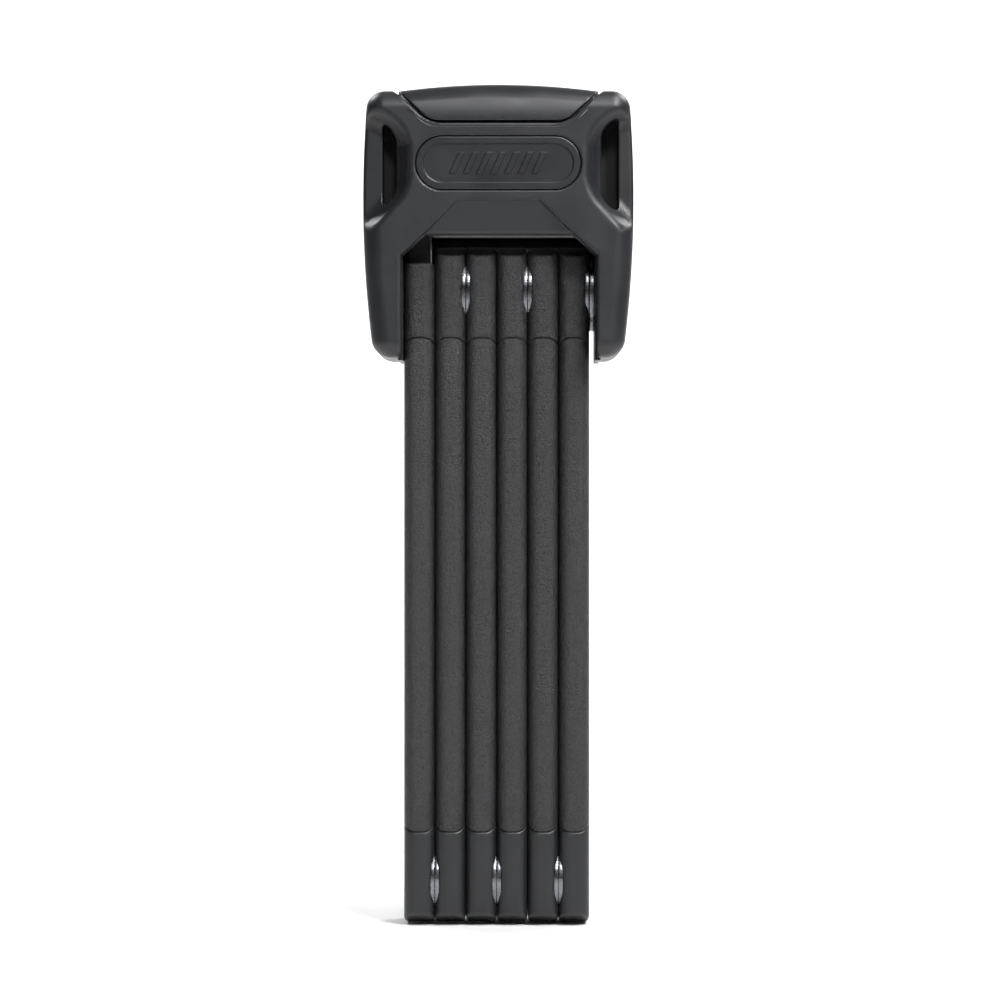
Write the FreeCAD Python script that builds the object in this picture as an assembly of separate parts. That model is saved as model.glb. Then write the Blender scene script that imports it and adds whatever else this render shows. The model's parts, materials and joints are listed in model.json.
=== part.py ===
import FreeCAD, Part
import math
import os

# Folding bike lock, closed: six coated steel bars hang side by side from a locking body.
# Millimetres. X runs across the stack, Y from front to back, Z up from the bars' lower ends.
# The origin is under the middle of the body, level with the bars' lower ends.

Vec = FreeCAD.Vector
ALONG_X = Vec(1, 0, 0)
ALONG_Y = Vec(0, 1, 0)
ALONG_Z = Vec(0, 0, 1)

# ---------------------------------------------------------------- bars
bar_count = 6
pivot_span = 148.1
core_thickness = 5.5
core_half_width = 9.55
coat_on_faces = 1.1
coat_on_edges = 1.2
coat_edge_round = 3.0
end_overhang = 10.9
end_shoulder = 8.2
end_edge_round = 0.45
cap_reach = 16.2
seam_gap = 0.2

# ---------------------------------------------------------------- pivots
rivet_radius = 4.0
rivet_head_radius = 5.6
rivet_head_thickness = 1.3
head_clearance = 0.1
running_clearance = 0.05
washer_past_core = 0.75
washer_gap = 0.04
ear_washer_thickness = 1.3

# ---------------------------------------------------------------- locking tongue on the last bar
tongue_half_width = 7.0
tongue_rise = 31.4
tongue_tip_chamfer = 2.0
tongue_clearance = 0.3
collar_rise = 6.4

# ---------------------------------------------------------------- body shell
body_half_depth = 19.5
leg_width = 6.9
body_top_flare = 1.5
body_widest_flare = 2.6
body_widest_above_pivot = 17.0
body_top_above_pivot = 48.95
leg_drop = 17.45
body_corner_round = 4.3
body_edge_round = 4.6
shell_wall = 2.4
shell_split = 0.1
bar_side_clearance = 0.15
arch_rise = 12.95
rear_arch_rise = 11.3
tongue_guard_rise = 5.5
tongue_guard_clearance = 0.25
arch_corner_rise = 7.9
arch_corner_run = 5.8
panel_top_rise = 21.45
panel_top_half_width = 10.2
panel_step = 0.4
panel_depth = 3.0

# ---------------------------------------------------------------- grip scoops and bracket slots
scoop_centre_rise = 29.4
scoop_reach = 11.6
scoop_top = 15.6
scoop_bottom = 19.4
scoop_past_flank = 2.4
scoop_upper_points = [(2.1, 0.95), (8.4, 0.75), (scoop_reach, 0.38)]
scoop_lower_points = [(scoop_reach, -0.11), (10.7, -0.29), (8.6, -0.46), (2.8, -0.78)]
scoop_depth = 5.0
scoop_floor_scale = 0.757
left_slot = {"reach": 8.2, "rim": 4.8, "half_height": 9.9}
right_slot = {"reach": 8.0, "rim": 3.7, "half_height": 11.25}
slot_centre_rise = 30.55
slot_bend = 4.6
slot_tip_round = 0.8
slot_depth = 9.0
slot_wall = 1.0

# ---------------------------------------------------------------- badge
badge_rise = 30.75
badge_length = 41.1
badge_height = 13.4
badge_border = 1.9
badge_thickness = 1.2
badge_field_depth = 0.4
badge_clearance = 0.15

# ---------------------------------------------------------------- top cap and keyhole shutter
cap_side_inset = 7.3
cap_slant_run = 8.2
cap_drop = 7.65
cap_toe_round = 5.3
crown_rise = 1.8
cap_proud = 0.1
cap_edge_round = 5.5
cap_tab_thickness = 1.2
cap_roof_drop = 1.2
cap_clearance = 0.12
cap_groove_width = 0.65
cap_groove_depth = 1.0
shutter_half_length = 9.3
shutter_half_width = 6.8
shutter_travel = 13.0
shutter_below_crown = 0.2
shutter_channel_floor = 1.0
shutter_clearance = 0.15
shutter_corner = 2.0
shutter_rib_places = (-2.4, 0.0, 2.4)
shutter_rib_half_width = 0.4
shutter_rib_half_length = 4.5
shutter_rib_depth = 0.75

# ---------------------------------------------------------------- steel lock case
stack_offset = 0.155
case_half_depth = 12.9
case_above_arch = 1.2
case_plate_thickness = 2.6
case_below_top = 2.4
ear_thickness = 5.0
ear_half_width = 10.5
ear_root_rise = 18.0
rib_half_width = 4.0
left_rib_width = 3.1
rib_top_gap = 5.0

# ---------------------------------------------------------------- key cylinder
housing_radius = 9.0
plug_radius = 6.5
plug_bore_radius = 4.9
disc_count = 7
disc_thickness = 1.5
disc_gap = 0.2
keyway_half_width = 1.4
keyway_half_length = 3.1
guard_thickness = 1.0
guard_clearance = 0.1
sidebar_radius = 0.6
cam_thickness = 2.0
cam_radius = 7.4
cam_pin_radius = 1.6
cam_throw = 5.2
cam_pin_clearance = 0.25
cam_lift = 0.4
turning_gap = 0.2
guard_step = 0.4
disc_floor = 0.8
sidebar_cover = 0.05

# ---------------------------------------------------------------- locking bolt
bolt_radius = 3.4
bolt_above_arch = 10.2
bolt_reach_past_tongue = 1.5
yoke_half_width = 8.4
yoke_ahead = 5.8
yoke_behind = 6.2
yoke_clearance = 0.25

# ---------------------------------------------------------------- liners and screws
liner_thickness = 1.2
liner_side_clearance = 0.1
liner_tip = 0.5
liner_rise = 7.0
cover_screw_radius = 1.25
cover_screw_head_radius = 2.2
cover_screw_head_thickness = 1.8
cover_screw_head_sink = 4.6
cover_screw_grip = 10.0
screw_boss_radius = 2.4
top_screw_x = 13.5
top_screw_below_top = 4.9
leg_screw_inset = 2.7
leg_screw_rise = 4.2
plate_screw_radius = 1.2
plate_screw_head_radius = 2.2
plate_screw_length = 6.5
plate_screw_inset = 3.1
screw_socket_share = 0.45
screw_socket_depth = 1.0
screw_side_clearance = 0.2
hidden_head_drop = 0.3
upper_screw_reach = 2.8

# ---------------------------------------------------------------- places worked out from the sizes
pivot_low_z = end_overhang
pivot_high_z = pivot_low_z + pivot_span
coat_half_width = core_half_width + coat_on_edges
bar_thickness = core_thickness + 2 * coat_on_faces
bar_pitch = bar_thickness + washer_gap
washer_thickness = coat_on_faces
washer_radius = core_half_width + washer_past_core
stack_width = (ear_washer_thickness + washer_gap + washer_thickness + core_thickness / 2
               + (bar_count - 1) * bar_pitch + bar_thickness / 2 + bar_side_clearance)
ear_face_x = stack_width / 2 + stack_offset
case_half_width = ear_face_x
body_leg_half_width = ear_face_x + leg_width
body_top_half_width = body_leg_half_width + body_top_flare
body_widest_half_width = body_leg_half_width + body_widest_flare
cap_half_width = body_top_half_width - cap_side_inset
cap_lower_half_width = cap_half_width - cap_slant_run
leg_screw_x = body_leg_half_width - leg_screw_inset
first_bar_x = ear_face_x - ear_washer_thickness - washer_gap - washer_thickness - core_thickness / 2
last_bar_x = first_bar_x - (bar_count - 1) * bar_pitch
cavity_left_x = last_bar_x - bar_thickness / 2 - bar_side_clearance
cavity_right_x = ear_face_x + liner_side_clearance
body_top_z = pivot_high_z + body_top_above_pivot
body_bottom_z = pivot_high_z - leg_drop
arch_z = pivot_high_z + arch_rise
case_bottom_z = arch_z + case_above_arch
case_floor_z = case_bottom_z + case_plate_thickness
case_top_z = body_top_z - case_below_top
bolt_z = arch_z + bolt_above_arch
tongue_top_z = pivot_high_z + tongue_rise
cam_bottom_z = bolt_z + bolt_radius + cam_lift
housing_bottom_z = cam_bottom_z + cam_thickness + turning_gap
housing_top_z = case_top_z - guard_thickness
plug_top_z = housing_top_z - turning_gap
cap_bottom_z = body_top_z - cap_drop
cap_roof_z = body_top_z - cap_roof_drop
crown_z = body_top_z + crown_rise
channel_floor_z = cap_roof_z + shutter_channel_floor
tongue_near_x = last_bar_x + core_thickness / 2
tongue_far_x = last_bar_x - core_thickness / 2
bolt_stroke = 2 * cam_throw * math.sin(math.pi / 4)
bolt_tip_x = tongue_far_x - bolt_reach_past_tongue
cam_rest_x = -cam_throw * math.sin(math.pi / 4)
cam_rest_y = -cam_throw * math.cos(math.pi / 4)
yoke_front_x = cam_rest_x - yoke_ahead
yoke_back_x = cam_rest_x + yoke_behind


# ---------------------------------------------------------------- solid helpers
def box(x0, x1, y0, y1, z0, z1):
    return Part.makeBox(x1 - x0, y1 - y0, z1 - z0, Vec(x0, y0, z0))


def rod(radius, start, end):
    path = end - start
    return Part.makeCylinder(radius, path.Length, start, path)


def rod_x(radius, x0, x1, y, z):
    return rod(radius, Vec(min(x0, x1), y, z), Vec(max(x0, x1), y, z))


def rod_y(radius, y0, y1, x, z):
    return rod(radius, Vec(x, min(y0, y1), z), Vec(x, max(y0, y1), z))


def rod_z(radius, z0, z1, x=0.0, y=0.0):
    return rod(radius, Vec(x, y, z0), Vec(x, y, z1))


def line(a, b):
    return Part.LineSegment(a, b).toShape()


def arc(a, through, b):
    return Part.Arc(a, through, b).toShape()


def prism(edges, sweep):
    return Part.Face(Part.Wire(edges)).extrude(sweep)


def polygon_prism(points, sweep):
    return Part.Face(Part.makePolygon(points + points[:1])).extrude(sweep)


def joined(solids):
    whole = solids[0]
    for solid in solids[1:]:
        whole = whole.fuse(solid)
    return whole.removeSplitter()


def without(solid, cutters):
    for cutter in cutters:
        solid = solid.cut(cutter)
    return solid


def mirrored(shape, normal):
    return shape.mirror(Vec(0, 0, 0), normal)


def both_sides(shape, normal):
    return [shape, mirrored(shape, normal)]


def save(name, *shapes):
    solids = [solid for shape in shapes for solid in shape.Solids]
    whole = solids[0] if len(solids) == 1 else Part.makeCompound(solids)
    whole.exportStep(f"parts/{name}.step")


# ---------------------------------------------------------------- bars
def bar_x(number):
    """Middle of a bar's thickness; bar 1 hangs on the body's hinge ear."""
    return first_bar_x - (number - 1) * bar_pitch


def right_pivot_z(number):
    """Pivots alternate: odd bars meet the bar (or ear) on their right at the top."""
    return pivot_high_z if number % 2 else pivot_low_z


def left_pivot_z(number):
    return pivot_low_z if number % 2 else pivot_high_z


def bar_outline(x, half_width, flat_top_z=None):
    """Side outline of a coated bar: straight edges, shallow arcs over both ends."""
    low_shoulder = pivot_low_z - end_shoulder
    low_left = Vec(x, -half_width, low_shoulder)
    low_right = Vec(x, half_width, low_shoulder)
    low_end = Vec(x, 0, pivot_low_z - end_overhang)
    if flat_top_z is None:
        top_left = Vec(x, -half_width, pivot_high_z + end_shoulder)
        top_right = Vec(x, half_width, pivot_high_z + end_shoulder)
        top = arc(top_right, Vec(x, 0, pivot_high_z + end_overhang), top_left)
    else:
        top_left = Vec(x, -half_width, flat_top_z)
        top_right = Vec(x, half_width, flat_top_z)
        top = line(top_right, top_left)
    return [arc(low_left, low_end, low_right), line(low_right, top_right), top, line(top_left, low_left)]


def crosses(edge, normal_extent):
    """True for an outline edge that lies in one of the bar's two flat faces and runs front to back."""
    bounds = edge.BoundBox
    return bounds.XLength < 1e-4 and bounds.YLength > normal_extent


def coated_bar(number):
    x0 = bar_x(number) - bar_thickness / 2
    flat_top = pivot_high_z + collar_rise if number == bar_count else None
    slab = prism(bar_outline(x0, coat_half_width, flat_top), Vec(bar_thickness, 0, 0))
    ends = [edge for edge in slab.Edges if crosses(edge, coat_half_width)]
    slab = slab.makeFillet(end_edge_round, ends)
    section = box(x0, x0 + bar_thickness, -coat_half_width, coat_half_width, -1, crown_z)
    uprights = [edge for edge in section.Edges if edge.BoundBox.ZLength > pivot_span]
    section = section.makeFillet(coat_edge_round, uprights)
    return slab.common(section)


def core_blank(number):
    x0 = bar_x(number) - core_thickness / 2
    x1 = x0 + core_thickness
    pieces = [
        box(x0, x1, -core_half_width, core_half_width, pivot_low_z, pivot_high_z),
        rod_x(core_half_width, x0, x1, 0, pivot_low_z),
    ]
    if number < bar_count:
        pieces.append(rod_x(core_half_width, x0, x1, 0, pivot_high_z))
        return joined(pieces)
    tip = tongue_half_width - tongue_tip_chamfer
    tongue = [
        Vec(x0, -tongue_half_width, pivot_high_z),
        Vec(x0, tongue_half_width, pivot_high_z),
        Vec(x0, tongue_half_width, tongue_top_z - tongue_tip_chamfer),
        Vec(x0, tip, tongue_top_z),
        Vec(x0, -tip, tongue_top_z),
        Vec(x0, -tongue_half_width, tongue_top_z - tongue_tip_chamfer),
    ]
    pieces.append(polygon_prism(tongue, Vec(core_thickness, 0, 0)))
    return joined(pieces)


def rivet(outer_x, inner_x, z):
    """Headed pin from outer_x on its right to inner_x on its left, both heads flush."""
    return joined([
        rod_x(rivet_radius, inner_x, outer_x, 0, z),
        rod_x(rivet_head_radius, outer_x - rivet_head_thickness, outer_x, 0, z),
        rod_x(rivet_head_radius, inner_x, inner_x + rivet_head_thickness, 0, z),
    ])


def running_hole(x0, x1, z):
    """Hole in a bar that turns on a rivet whose head lies in the bar's left face."""
    return [
        rod_x(rivet_radius + running_clearance, x0, x1, 0, z),
        rod_x(rivet_head_radius + head_clearance, x0, x0 + rivet_head_thickness + head_clearance, 0, z),
    ]


def fixed_hole(x0, x1, z):
    """Hole that holds a rivet, its head in the right face."""
    return [
        rod_x(rivet_radius, x0, x1, 0, z),
        rod_x(rivet_head_radius, x1 - rivet_head_thickness, x1, 0, z),
    ]


def washer(x0, thickness, z):
    ring = rod_x(washer_radius, x0, x0 + thickness, 0, z)
    return ring.cut(rod_x(rivet_radius + head_clearance, x0, x0 + thickness, 0, z))


def make_bar(number):
    x = bar_x(number)
    core_left = x - core_thickness / 2
    core_right = x + core_thickness / 2
    last = number == bar_count

    core = without(core_blank(number), running_hole(core_left, core_right, right_pivot_z(number)))
    if last:
        core = core.cut(rod_x(bolt_radius + tongue_clearance, core_left, core_right, 0, bolt_z))
    else:
        core = without(core, fixed_hole(core_left, core_right, left_pivot_z(number)))
    save(f"link_{number}_core", core)

    washers = [washer(core_right, washer_thickness, right_pivot_z(number))]
    pockets = [rod_x(washer_radius + head_clearance, core_right, core_right + bar_pitch, 0,
                     right_pivot_z(number))]
    if not last:
        washers.append(washer(core_left - washer_thickness, washer_thickness, left_pivot_z(number)))
        pockets.append(rod_x(washer_radius + head_clearance, core_left - bar_pitch, core_left, 0,
                             left_pivot_z(number)))
        save(f"link_{number}_{number + 1}_rivet",
             rivet(core_right, bar_x(number + 1) - core_thickness / 2, left_pivot_z(number)))
    save(f"link_{number}_washers", *washers)

    coat = without(coated_bar(number), [core_blank(number)] + pockets)
    reach = [x - bar_pitch, x + bar_pitch]
    inner = cap_reach - seam_gap / 2
    outer = cap_reach + seam_gap / 2
    low_core, high_core = [rod_x(inner, *reach, 0, z) for z in (pivot_low_z, pivot_high_z)]
    low_seam, high_seam = [rod_x(outer, *reach, 0, z) for z in (pivot_low_z, pivot_high_z)]
    top = box(*reach, -coat_half_width - 1, coat_half_width + 1, pivot_high_z, crown_z)
    save(f"link_{number}_lower_cap", coat.common(low_core))
    save(f"link_{number}_upper_cap", coat.common(high_core))
    save(f"link_{number}_sleeve", without(coat, [low_seam, high_seam, top]))


# ---------------------------------------------------------------- body shell
def body_blank(inset):
    """The body's filled outer shape, every face moved inwards by inset."""
    y = inset - body_half_depth
    top = body_top_z - inset
    bottom = body_bottom_z + inset
    middle = pivot_high_z + body_widest_above_pivot
    top_x = body_top_half_width - inset
    middle_x = body_widest_half_width - inset
    leg_x = body_leg_half_width - inset
    edges = [
        line(Vec(-leg_x, y, bottom), Vec(leg_x, y, bottom)),
        arc(Vec(leg_x, y, bottom), Vec(middle_x, y, middle), Vec(top_x, y, top)),
        line(Vec(top_x, y, top), Vec(-top_x, y, top)),
        arc(Vec(-top_x, y, top), Vec(-middle_x, y, middle), Vec(-leg_x, y, bottom)),
    ]
    blank = prism(edges, Vec(0, -2 * y, 0))
    corners = [edge for edge in blank.Edges if edge.BoundBox.YLength > body_half_depth]
    blank = blank.makeFillet(body_corner_round - 0.7 * inset, corners)
    rims = [edge for edge in blank.Edges if edge.BoundBox.YLength < 1e-4]
    return blank.makeFillet(body_edge_round - 0.7 * inset, rims)


def arch_cut(start_y, sweep_y, top_z):
    """The opening that the bars hang in, from start_y over a depth of sweep_y."""
    low = body_bottom_z - 5
    corner = pivot_high_z + arch_corner_rise
    outline = [
        Vec(cavity_left_x, start_y, low),
        Vec(cavity_left_x, start_y, corner),
        Vec(cavity_left_x + arch_corner_run, start_y, top_z),
        Vec(cavity_right_x - arch_corner_run, start_y, top_z),
        Vec(cavity_right_x, start_y, corner),
        Vec(cavity_right_x, start_y, low),
    ]
    return polygon_prism(outline, Vec(0, sweep_y, 0))


def panel_cut(grow):
    """Sloping recess over the arch on the front, deeper towards the arch."""
    y = -body_half_depth
    top = pivot_high_z + panel_top_rise + grow
    low = body_bottom_z - 5
    corner = pivot_high_z + arch_corner_rise
    half = panel_top_half_width + grow
    outline = [
        Vec(cavity_left_x - grow, y - 2, low),
        Vec(cavity_left_x - grow, y - 2, corner),
        Vec(-half, y - 2, top),
        Vec(half, y - 2, top),
        Vec(cavity_right_x + grow, y - 2, corner),
        Vec(cavity_right_x + grow, y - 2, low),
    ]
    far = body_widest_half_width
    slope = [
        Vec(-far, y - 2, top),
        Vec(-far, y + panel_step + grow, top),
        Vec(-far, y + panel_depth + grow, arch_z),
        Vec(-far, y + panel_depth + grow, low),
        Vec(-far, y - 2, low),
    ]
    return polygon_prism(outline, Vec(0, 8, 0)).common(polygon_prism(slope, Vec(2 * far, 0, 0)))


def scoop_wire(y, scale, grow):
    """Outline of a grip scoop on the right flank, shrunk towards the flank by scale."""
    far = body_widest_half_width + scoop_past_flank
    middle = pivot_high_z + scoop_centre_rise
    outside = far + 3

    def at(x, rise):
        side = 1 if rise > 0 else -1
        return Vec(far + (x - far) * scale - grow, y, middle + rise * scale + side * grow)

    flank = body_widest_half_width
    upper = [at(flank - reach, share * scoop_top) for reach, share in scoop_upper_points]
    lower = [at(flank - reach, share * scoop_bottom) for reach, share in scoop_lower_points]
    first = at(outside, scoop_top)
    last = at(outside, -scoop_bottom)
    return Part.Wire([
        line(first, upper[0]),
        arc(*upper),
        line(upper[-1], lower[0]),
        arc(*lower[:3]),
        line(lower[2], lower[3]),
        line(lower[3], last),
        line(last, first),
    ])


def scoop_cut(grow):
    face = scoop_wire(-body_half_depth - 1.0, 1.0, grow)
    floor = scoop_wire(-body_half_depth + scoop_depth + grow, scoop_floor_scale, grow)
    return Part.makeLoft([face, floor], True, True)


def slot_cut(sizes, side, grow):
    """D-shaped slot in a scoop's floor on one flank, where a carrying bracket's latch goes in."""
    y = -body_half_depth + scoop_depth - 2.0
    middle = pivot_high_z + slot_centre_rise
    inner = body_widest_half_width - sizes["reach"] - grow
    outer = body_widest_half_width - sizes["rim"] + grow
    half = sizes["half_height"] + grow
    tip = slot_tip_round

    def at(x, rise):
        return Vec(side * x, y, middle + rise)

    bulge_x = inner + 0.25 * (outer - inner)
    bulge_rise = half - 0.4 * slot_bend
    edges = [
        line(at(outer, tip - half), at(outer, half - tip)),
        arc(at(outer, half - tip), at(outer - 0.3 * tip, half - 0.3 * tip), at(outer - tip, half)),
        arc(at(outer - tip, half), at(bulge_x, bulge_rise), at(inner, half - slot_bend)),
        line(at(inner, half - slot_bend), at(inner, slot_bend - half)),
        arc(at(inner, slot_bend - half), at(bulge_x, -bulge_rise), at(outer - tip, -half)),
        arc(at(outer - tip, -half), at(outer - 0.3 * tip, 0.3 * tip - half), at(outer, tip - half)),
    ]
    return prism(edges, Vec(0, slot_depth + 2.0 + grow, 0))


def slot_cuts(grow):
    """The slots of both flanks, front and back."""
    left = slot_cut(left_slot, -1, grow)
    right = slot_cut(right_slot, 1, grow)
    return both_sides(left, ALONG_Y) + both_sides(right, ALONG_Y)


def four_way(shape):
    """A flank feature on both flanks, front and back."""
    return [copy for half in both_sides(shape, ALONG_X) for copy in both_sides(half, ALONG_Y)]


def cap_points(grow, y):
    """Front outline of the top cap, a shallow trapezoid that widens upwards."""
    slant = (cap_half_width - cap_lower_half_width) / cap_drop
    shift = math.hypot(1, slant)
    lower = cap_lower_half_width + (shift - slant) * grow
    wide = cap_half_width + shift * grow
    low_z = cap_bottom_z - grow
    return [
        Vec(-lower, y, low_z),
        Vec(lower, y, low_z),
        Vec(wide, y, body_top_z),
        Vec(-wide, y, body_top_z),
    ]


def cap_outer(grow):
    """Filled outer shape of the top cap: trapezoid front, arched crown, rolled front and back edges."""
    y = -body_half_depth - cap_proud - grow
    low_left, low_right, right, left = cap_points(grow, y)
    crown = arc(right, Vec(0, y, crown_z + grow), left)
    blank = prism([line(low_left, low_right), line(low_right, right), crown, line(left, low_left)],
                  Vec(0, -2 * y, 0))
    toes = [edge for edge in blank.Edges
            if edge.BoundBox.YLength > body_half_depth and edge.BoundBox.ZMax < body_top_z - 1]
    blank = blank.makeFillet(cap_toe_round, toes)
    far = cap_half_width + 5
    roller = box(-far, far, y, -y, cap_bottom_z - 5, crown_z + grow)
    lips = [edge for edge in roller.Edges
            if edge.BoundBox.XLength > far and edge.BoundBox.ZMin > crown_z - 1]
    return blank.common(roller.makeFillet(cap_edge_round, lips))


def cap_core(half_depth, top_z):
    """What the top cap or its groove reaches over: tabs lie outside this block and a roof above it."""
    far = body_widest_half_width + 5
    return box(-far, far, -half_depth, half_depth, pivot_high_z, top_z)


def badge_stadium(length, height, y0, y1):
    middle = pivot_high_z + badge_rise
    half = length / 2 - height / 2
    return joined([
        box(-half, half, y0, y1, middle - height / 2, middle + height / 2),
        rod_y(height / 2, y0, y1, -half, middle),
        rod_y(height / 2, y0, y1, half, middle),
    ])


def cover_screw_places():
    top_z = body_top_z - top_screw_below_top
    low_z = body_bottom_z + leg_screw_rise
    return [(-top_screw_x, top_z), (top_screw_x, top_z), (-leg_screw_x, low_z), (leg_screw_x, low_z)]


def screw_head_y(z):
    """The upper screws' heads lie under the cap's rear tab, the lower ones in deep wells."""
    if z > arch_z:
        return body_half_depth - cap_tab_thickness - hidden_head_drop
    return body_half_depth - cover_screw_head_sink


def cover_screw_tip_y(z):
    return -(case_half_depth + upper_screw_reach) if z > arch_z else -cover_screw_grip


def tongue_guard():
    """Tab of the rear cover behind the tongue's collar, where the last bar never swings."""
    right = last_bar_x + bar_thickness / 2 - tongue_guard_clearance
    return box(cavity_left_x - 1, right, body_half_depth - panel_depth - shell_wall, body_half_depth + 1,
               pivot_high_z + tongue_guard_rise, arch_z)


def make_covers():
    outer = body_blank(0)
    void = body_blank(shell_wall)
    void = void.cut(joined(both_sides(panel_cut(shell_wall), ALONG_Y)))
    void = without(void, four_way(scoop_cut(shell_wall * 0.6)) + slot_cuts(slot_wall))
    shell = outer.cut(void)
    bosses = []
    for x, z in cover_screw_places():
        end = case_half_depth if z > arch_z else 0.0
        bosses.append(rod_y(screw_boss_radius, -body_half_depth + 1, -end, x, z))
        bosses.append(rod_y(screw_boss_radius, end, body_half_depth - 1, x, z))
    shell = joined([shell] + [boss.common(outer) for boss in bosses])

    reach = body_half_depth + 1
    rear_arch = arch_cut(0, reach, pivot_high_z + rear_arch_rise)
    cuts = [arch_cut(-reach, reach, arch_z), rear_arch.cut(tongue_guard())]
    cuts += both_sides(panel_cut(0), ALONG_Y) + leg_liner_blocks(liner_side_clearance)
    cuts += four_way(scoop_cut(0)) + slot_cuts(0)
    tab_face = body_half_depth - cap_tab_thickness - cap_clearance
    groove_floor = body_half_depth - cap_groove_depth
    seat = cap_outer(cap_clearance).cut(cap_core(tab_face, cap_roof_z - cap_clearance))
    groove = cap_outer(cap_groove_width).cut(cap_core(groove_floor, body_top_z - cap_groove_depth))
    cuts += [seat, groove]
    cuts.append(rod_z(housing_radius, case_top_z - 1, crown_z))
    cuts.append(badge_stadium(badge_length, badge_height, -body_half_depth - 1,
                              -body_half_depth + badge_thickness - cap_proud))
    for x, z in cover_screw_places():
        head_y = screw_head_y(z)
        tip = cover_screw_tip_y(z)
        cuts.append(rod_y(cover_screw_radius, tip, head_y, x, z))
        cuts.append(rod_y(cover_screw_head_radius + screw_side_clearance, head_y - cover_screw_head_thickness,
                          body_half_depth + 1, x, z))
    shell = without(shell, cuts)
    half = shell_split / 2
    far = body_widest_half_width + 5
    front = box(-far, far, -reach, -half, 0, crown_z)
    rear = box(-far, far, half, reach, 0, crown_z)
    save("front_cover", shell.common(front))
    save("rear_cover", shell.common(rear))


def make_cover_screws():
    screws = []
    for x, z in cover_screw_places():
        head_y = screw_head_y(z)
        neck = head_y - cover_screw_head_thickness
        screw = joined([
            rod_y(cover_screw_radius, cover_screw_tip_y(z), neck, x, z),
            rod_y(cover_screw_head_radius, neck, head_y, x, z),
        ])
        socket_radius = screw_socket_share * cover_screw_head_radius
        socket = rod_y(socket_radius, head_y - screw_socket_depth, head_y, x, z)
        screws.append(screw.cut(socket))
    save("cover_screws", *screws)


def make_badge():
    face_y = -body_half_depth - cap_proud
    back_y = -body_half_depth + badge_thickness - cap_proud
    trim = 2 * badge_clearance
    plate = badge_stadium(badge_length - trim, badge_height - trim, face_y, back_y)
    field = badge_stadium(badge_length - 2 * badge_border, badge_height - 2 * badge_border, face_y,
                          face_y + badge_field_depth)
    save("badge_plate", plate.cut(field))


# ---------------------------------------------------------------- top cap
def rounded_plate(x0, x1, half_width, z0, z1, radius):
    plate = box(x0, x1, -half_width, half_width, z0, z1)
    uprights = [edge for edge in plate.Edges if edge.BoundBox.ZLength > (z1 - z0) / 2]
    return plate.makeFillet(radius, uprights)


def make_top_cap():
    channel = rounded_plate(
        -shutter_half_length - shutter_clearance, shutter_half_length + shutter_travel + shutter_clearance,
        shutter_half_width + shutter_clearance, channel_floor_z, crown_z + 2, shutter_corner)
    keyhole = rod_z(plug_bore_radius, cap_roof_z - 1, crown_z)
    inside = cap_core(body_half_depth - cap_tab_thickness, cap_roof_z)
    save("top_cap", without(cap_outer(0), [inside, channel, keyhole]))


def make_keyhole_shutter():
    plate = rounded_plate(-shutter_half_length, shutter_half_length, shutter_half_width,
                          channel_floor_z + shutter_clearance, crown_z + 2, shutter_corner)
    y = -body_half_depth
    drop = shutter_below_crown
    under_crown = prism([
        line(Vec(-cap_half_width, y, cap_roof_z), Vec(cap_half_width, y, cap_roof_z)),
        line(Vec(cap_half_width, y, cap_roof_z), Vec(cap_half_width, y, body_top_z - drop)),
        arc(Vec(cap_half_width, y, body_top_z - drop), Vec(0, y, crown_z - drop),
            Vec(-cap_half_width, y, body_top_z - drop)),
        line(Vec(-cap_half_width, y, body_top_z - drop), Vec(-cap_half_width, y, cap_roof_z)),
    ], Vec(0, -2 * y, 0))
    grooves = [
        box(x - shutter_rib_half_width, x + shutter_rib_half_width, -shutter_rib_half_length,
            shutter_rib_half_length, crown_z - shutter_rib_depth, crown_z + 2)
        for x in shutter_rib_places
    ]
    save("keyhole_shutter", without(plate.common(under_crown), grooves))


# ---------------------------------------------------------------- steel lock case
def tongue_hole(clearance, z0, z1):
    return box(tongue_far_x - clearance, tongue_near_x + clearance,
               -tongue_half_width - clearance, tongue_half_width + clearance, z0, z1)


def plate_screw_places():
    y = case_half_depth - plate_screw_inset
    right = case_half_width - plate_screw_inset
    left = tongue_near_x + plate_screw_inset + 1.5
    return [(x, side * y) for x in (left, right) for side in (-1, 1)]


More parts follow.
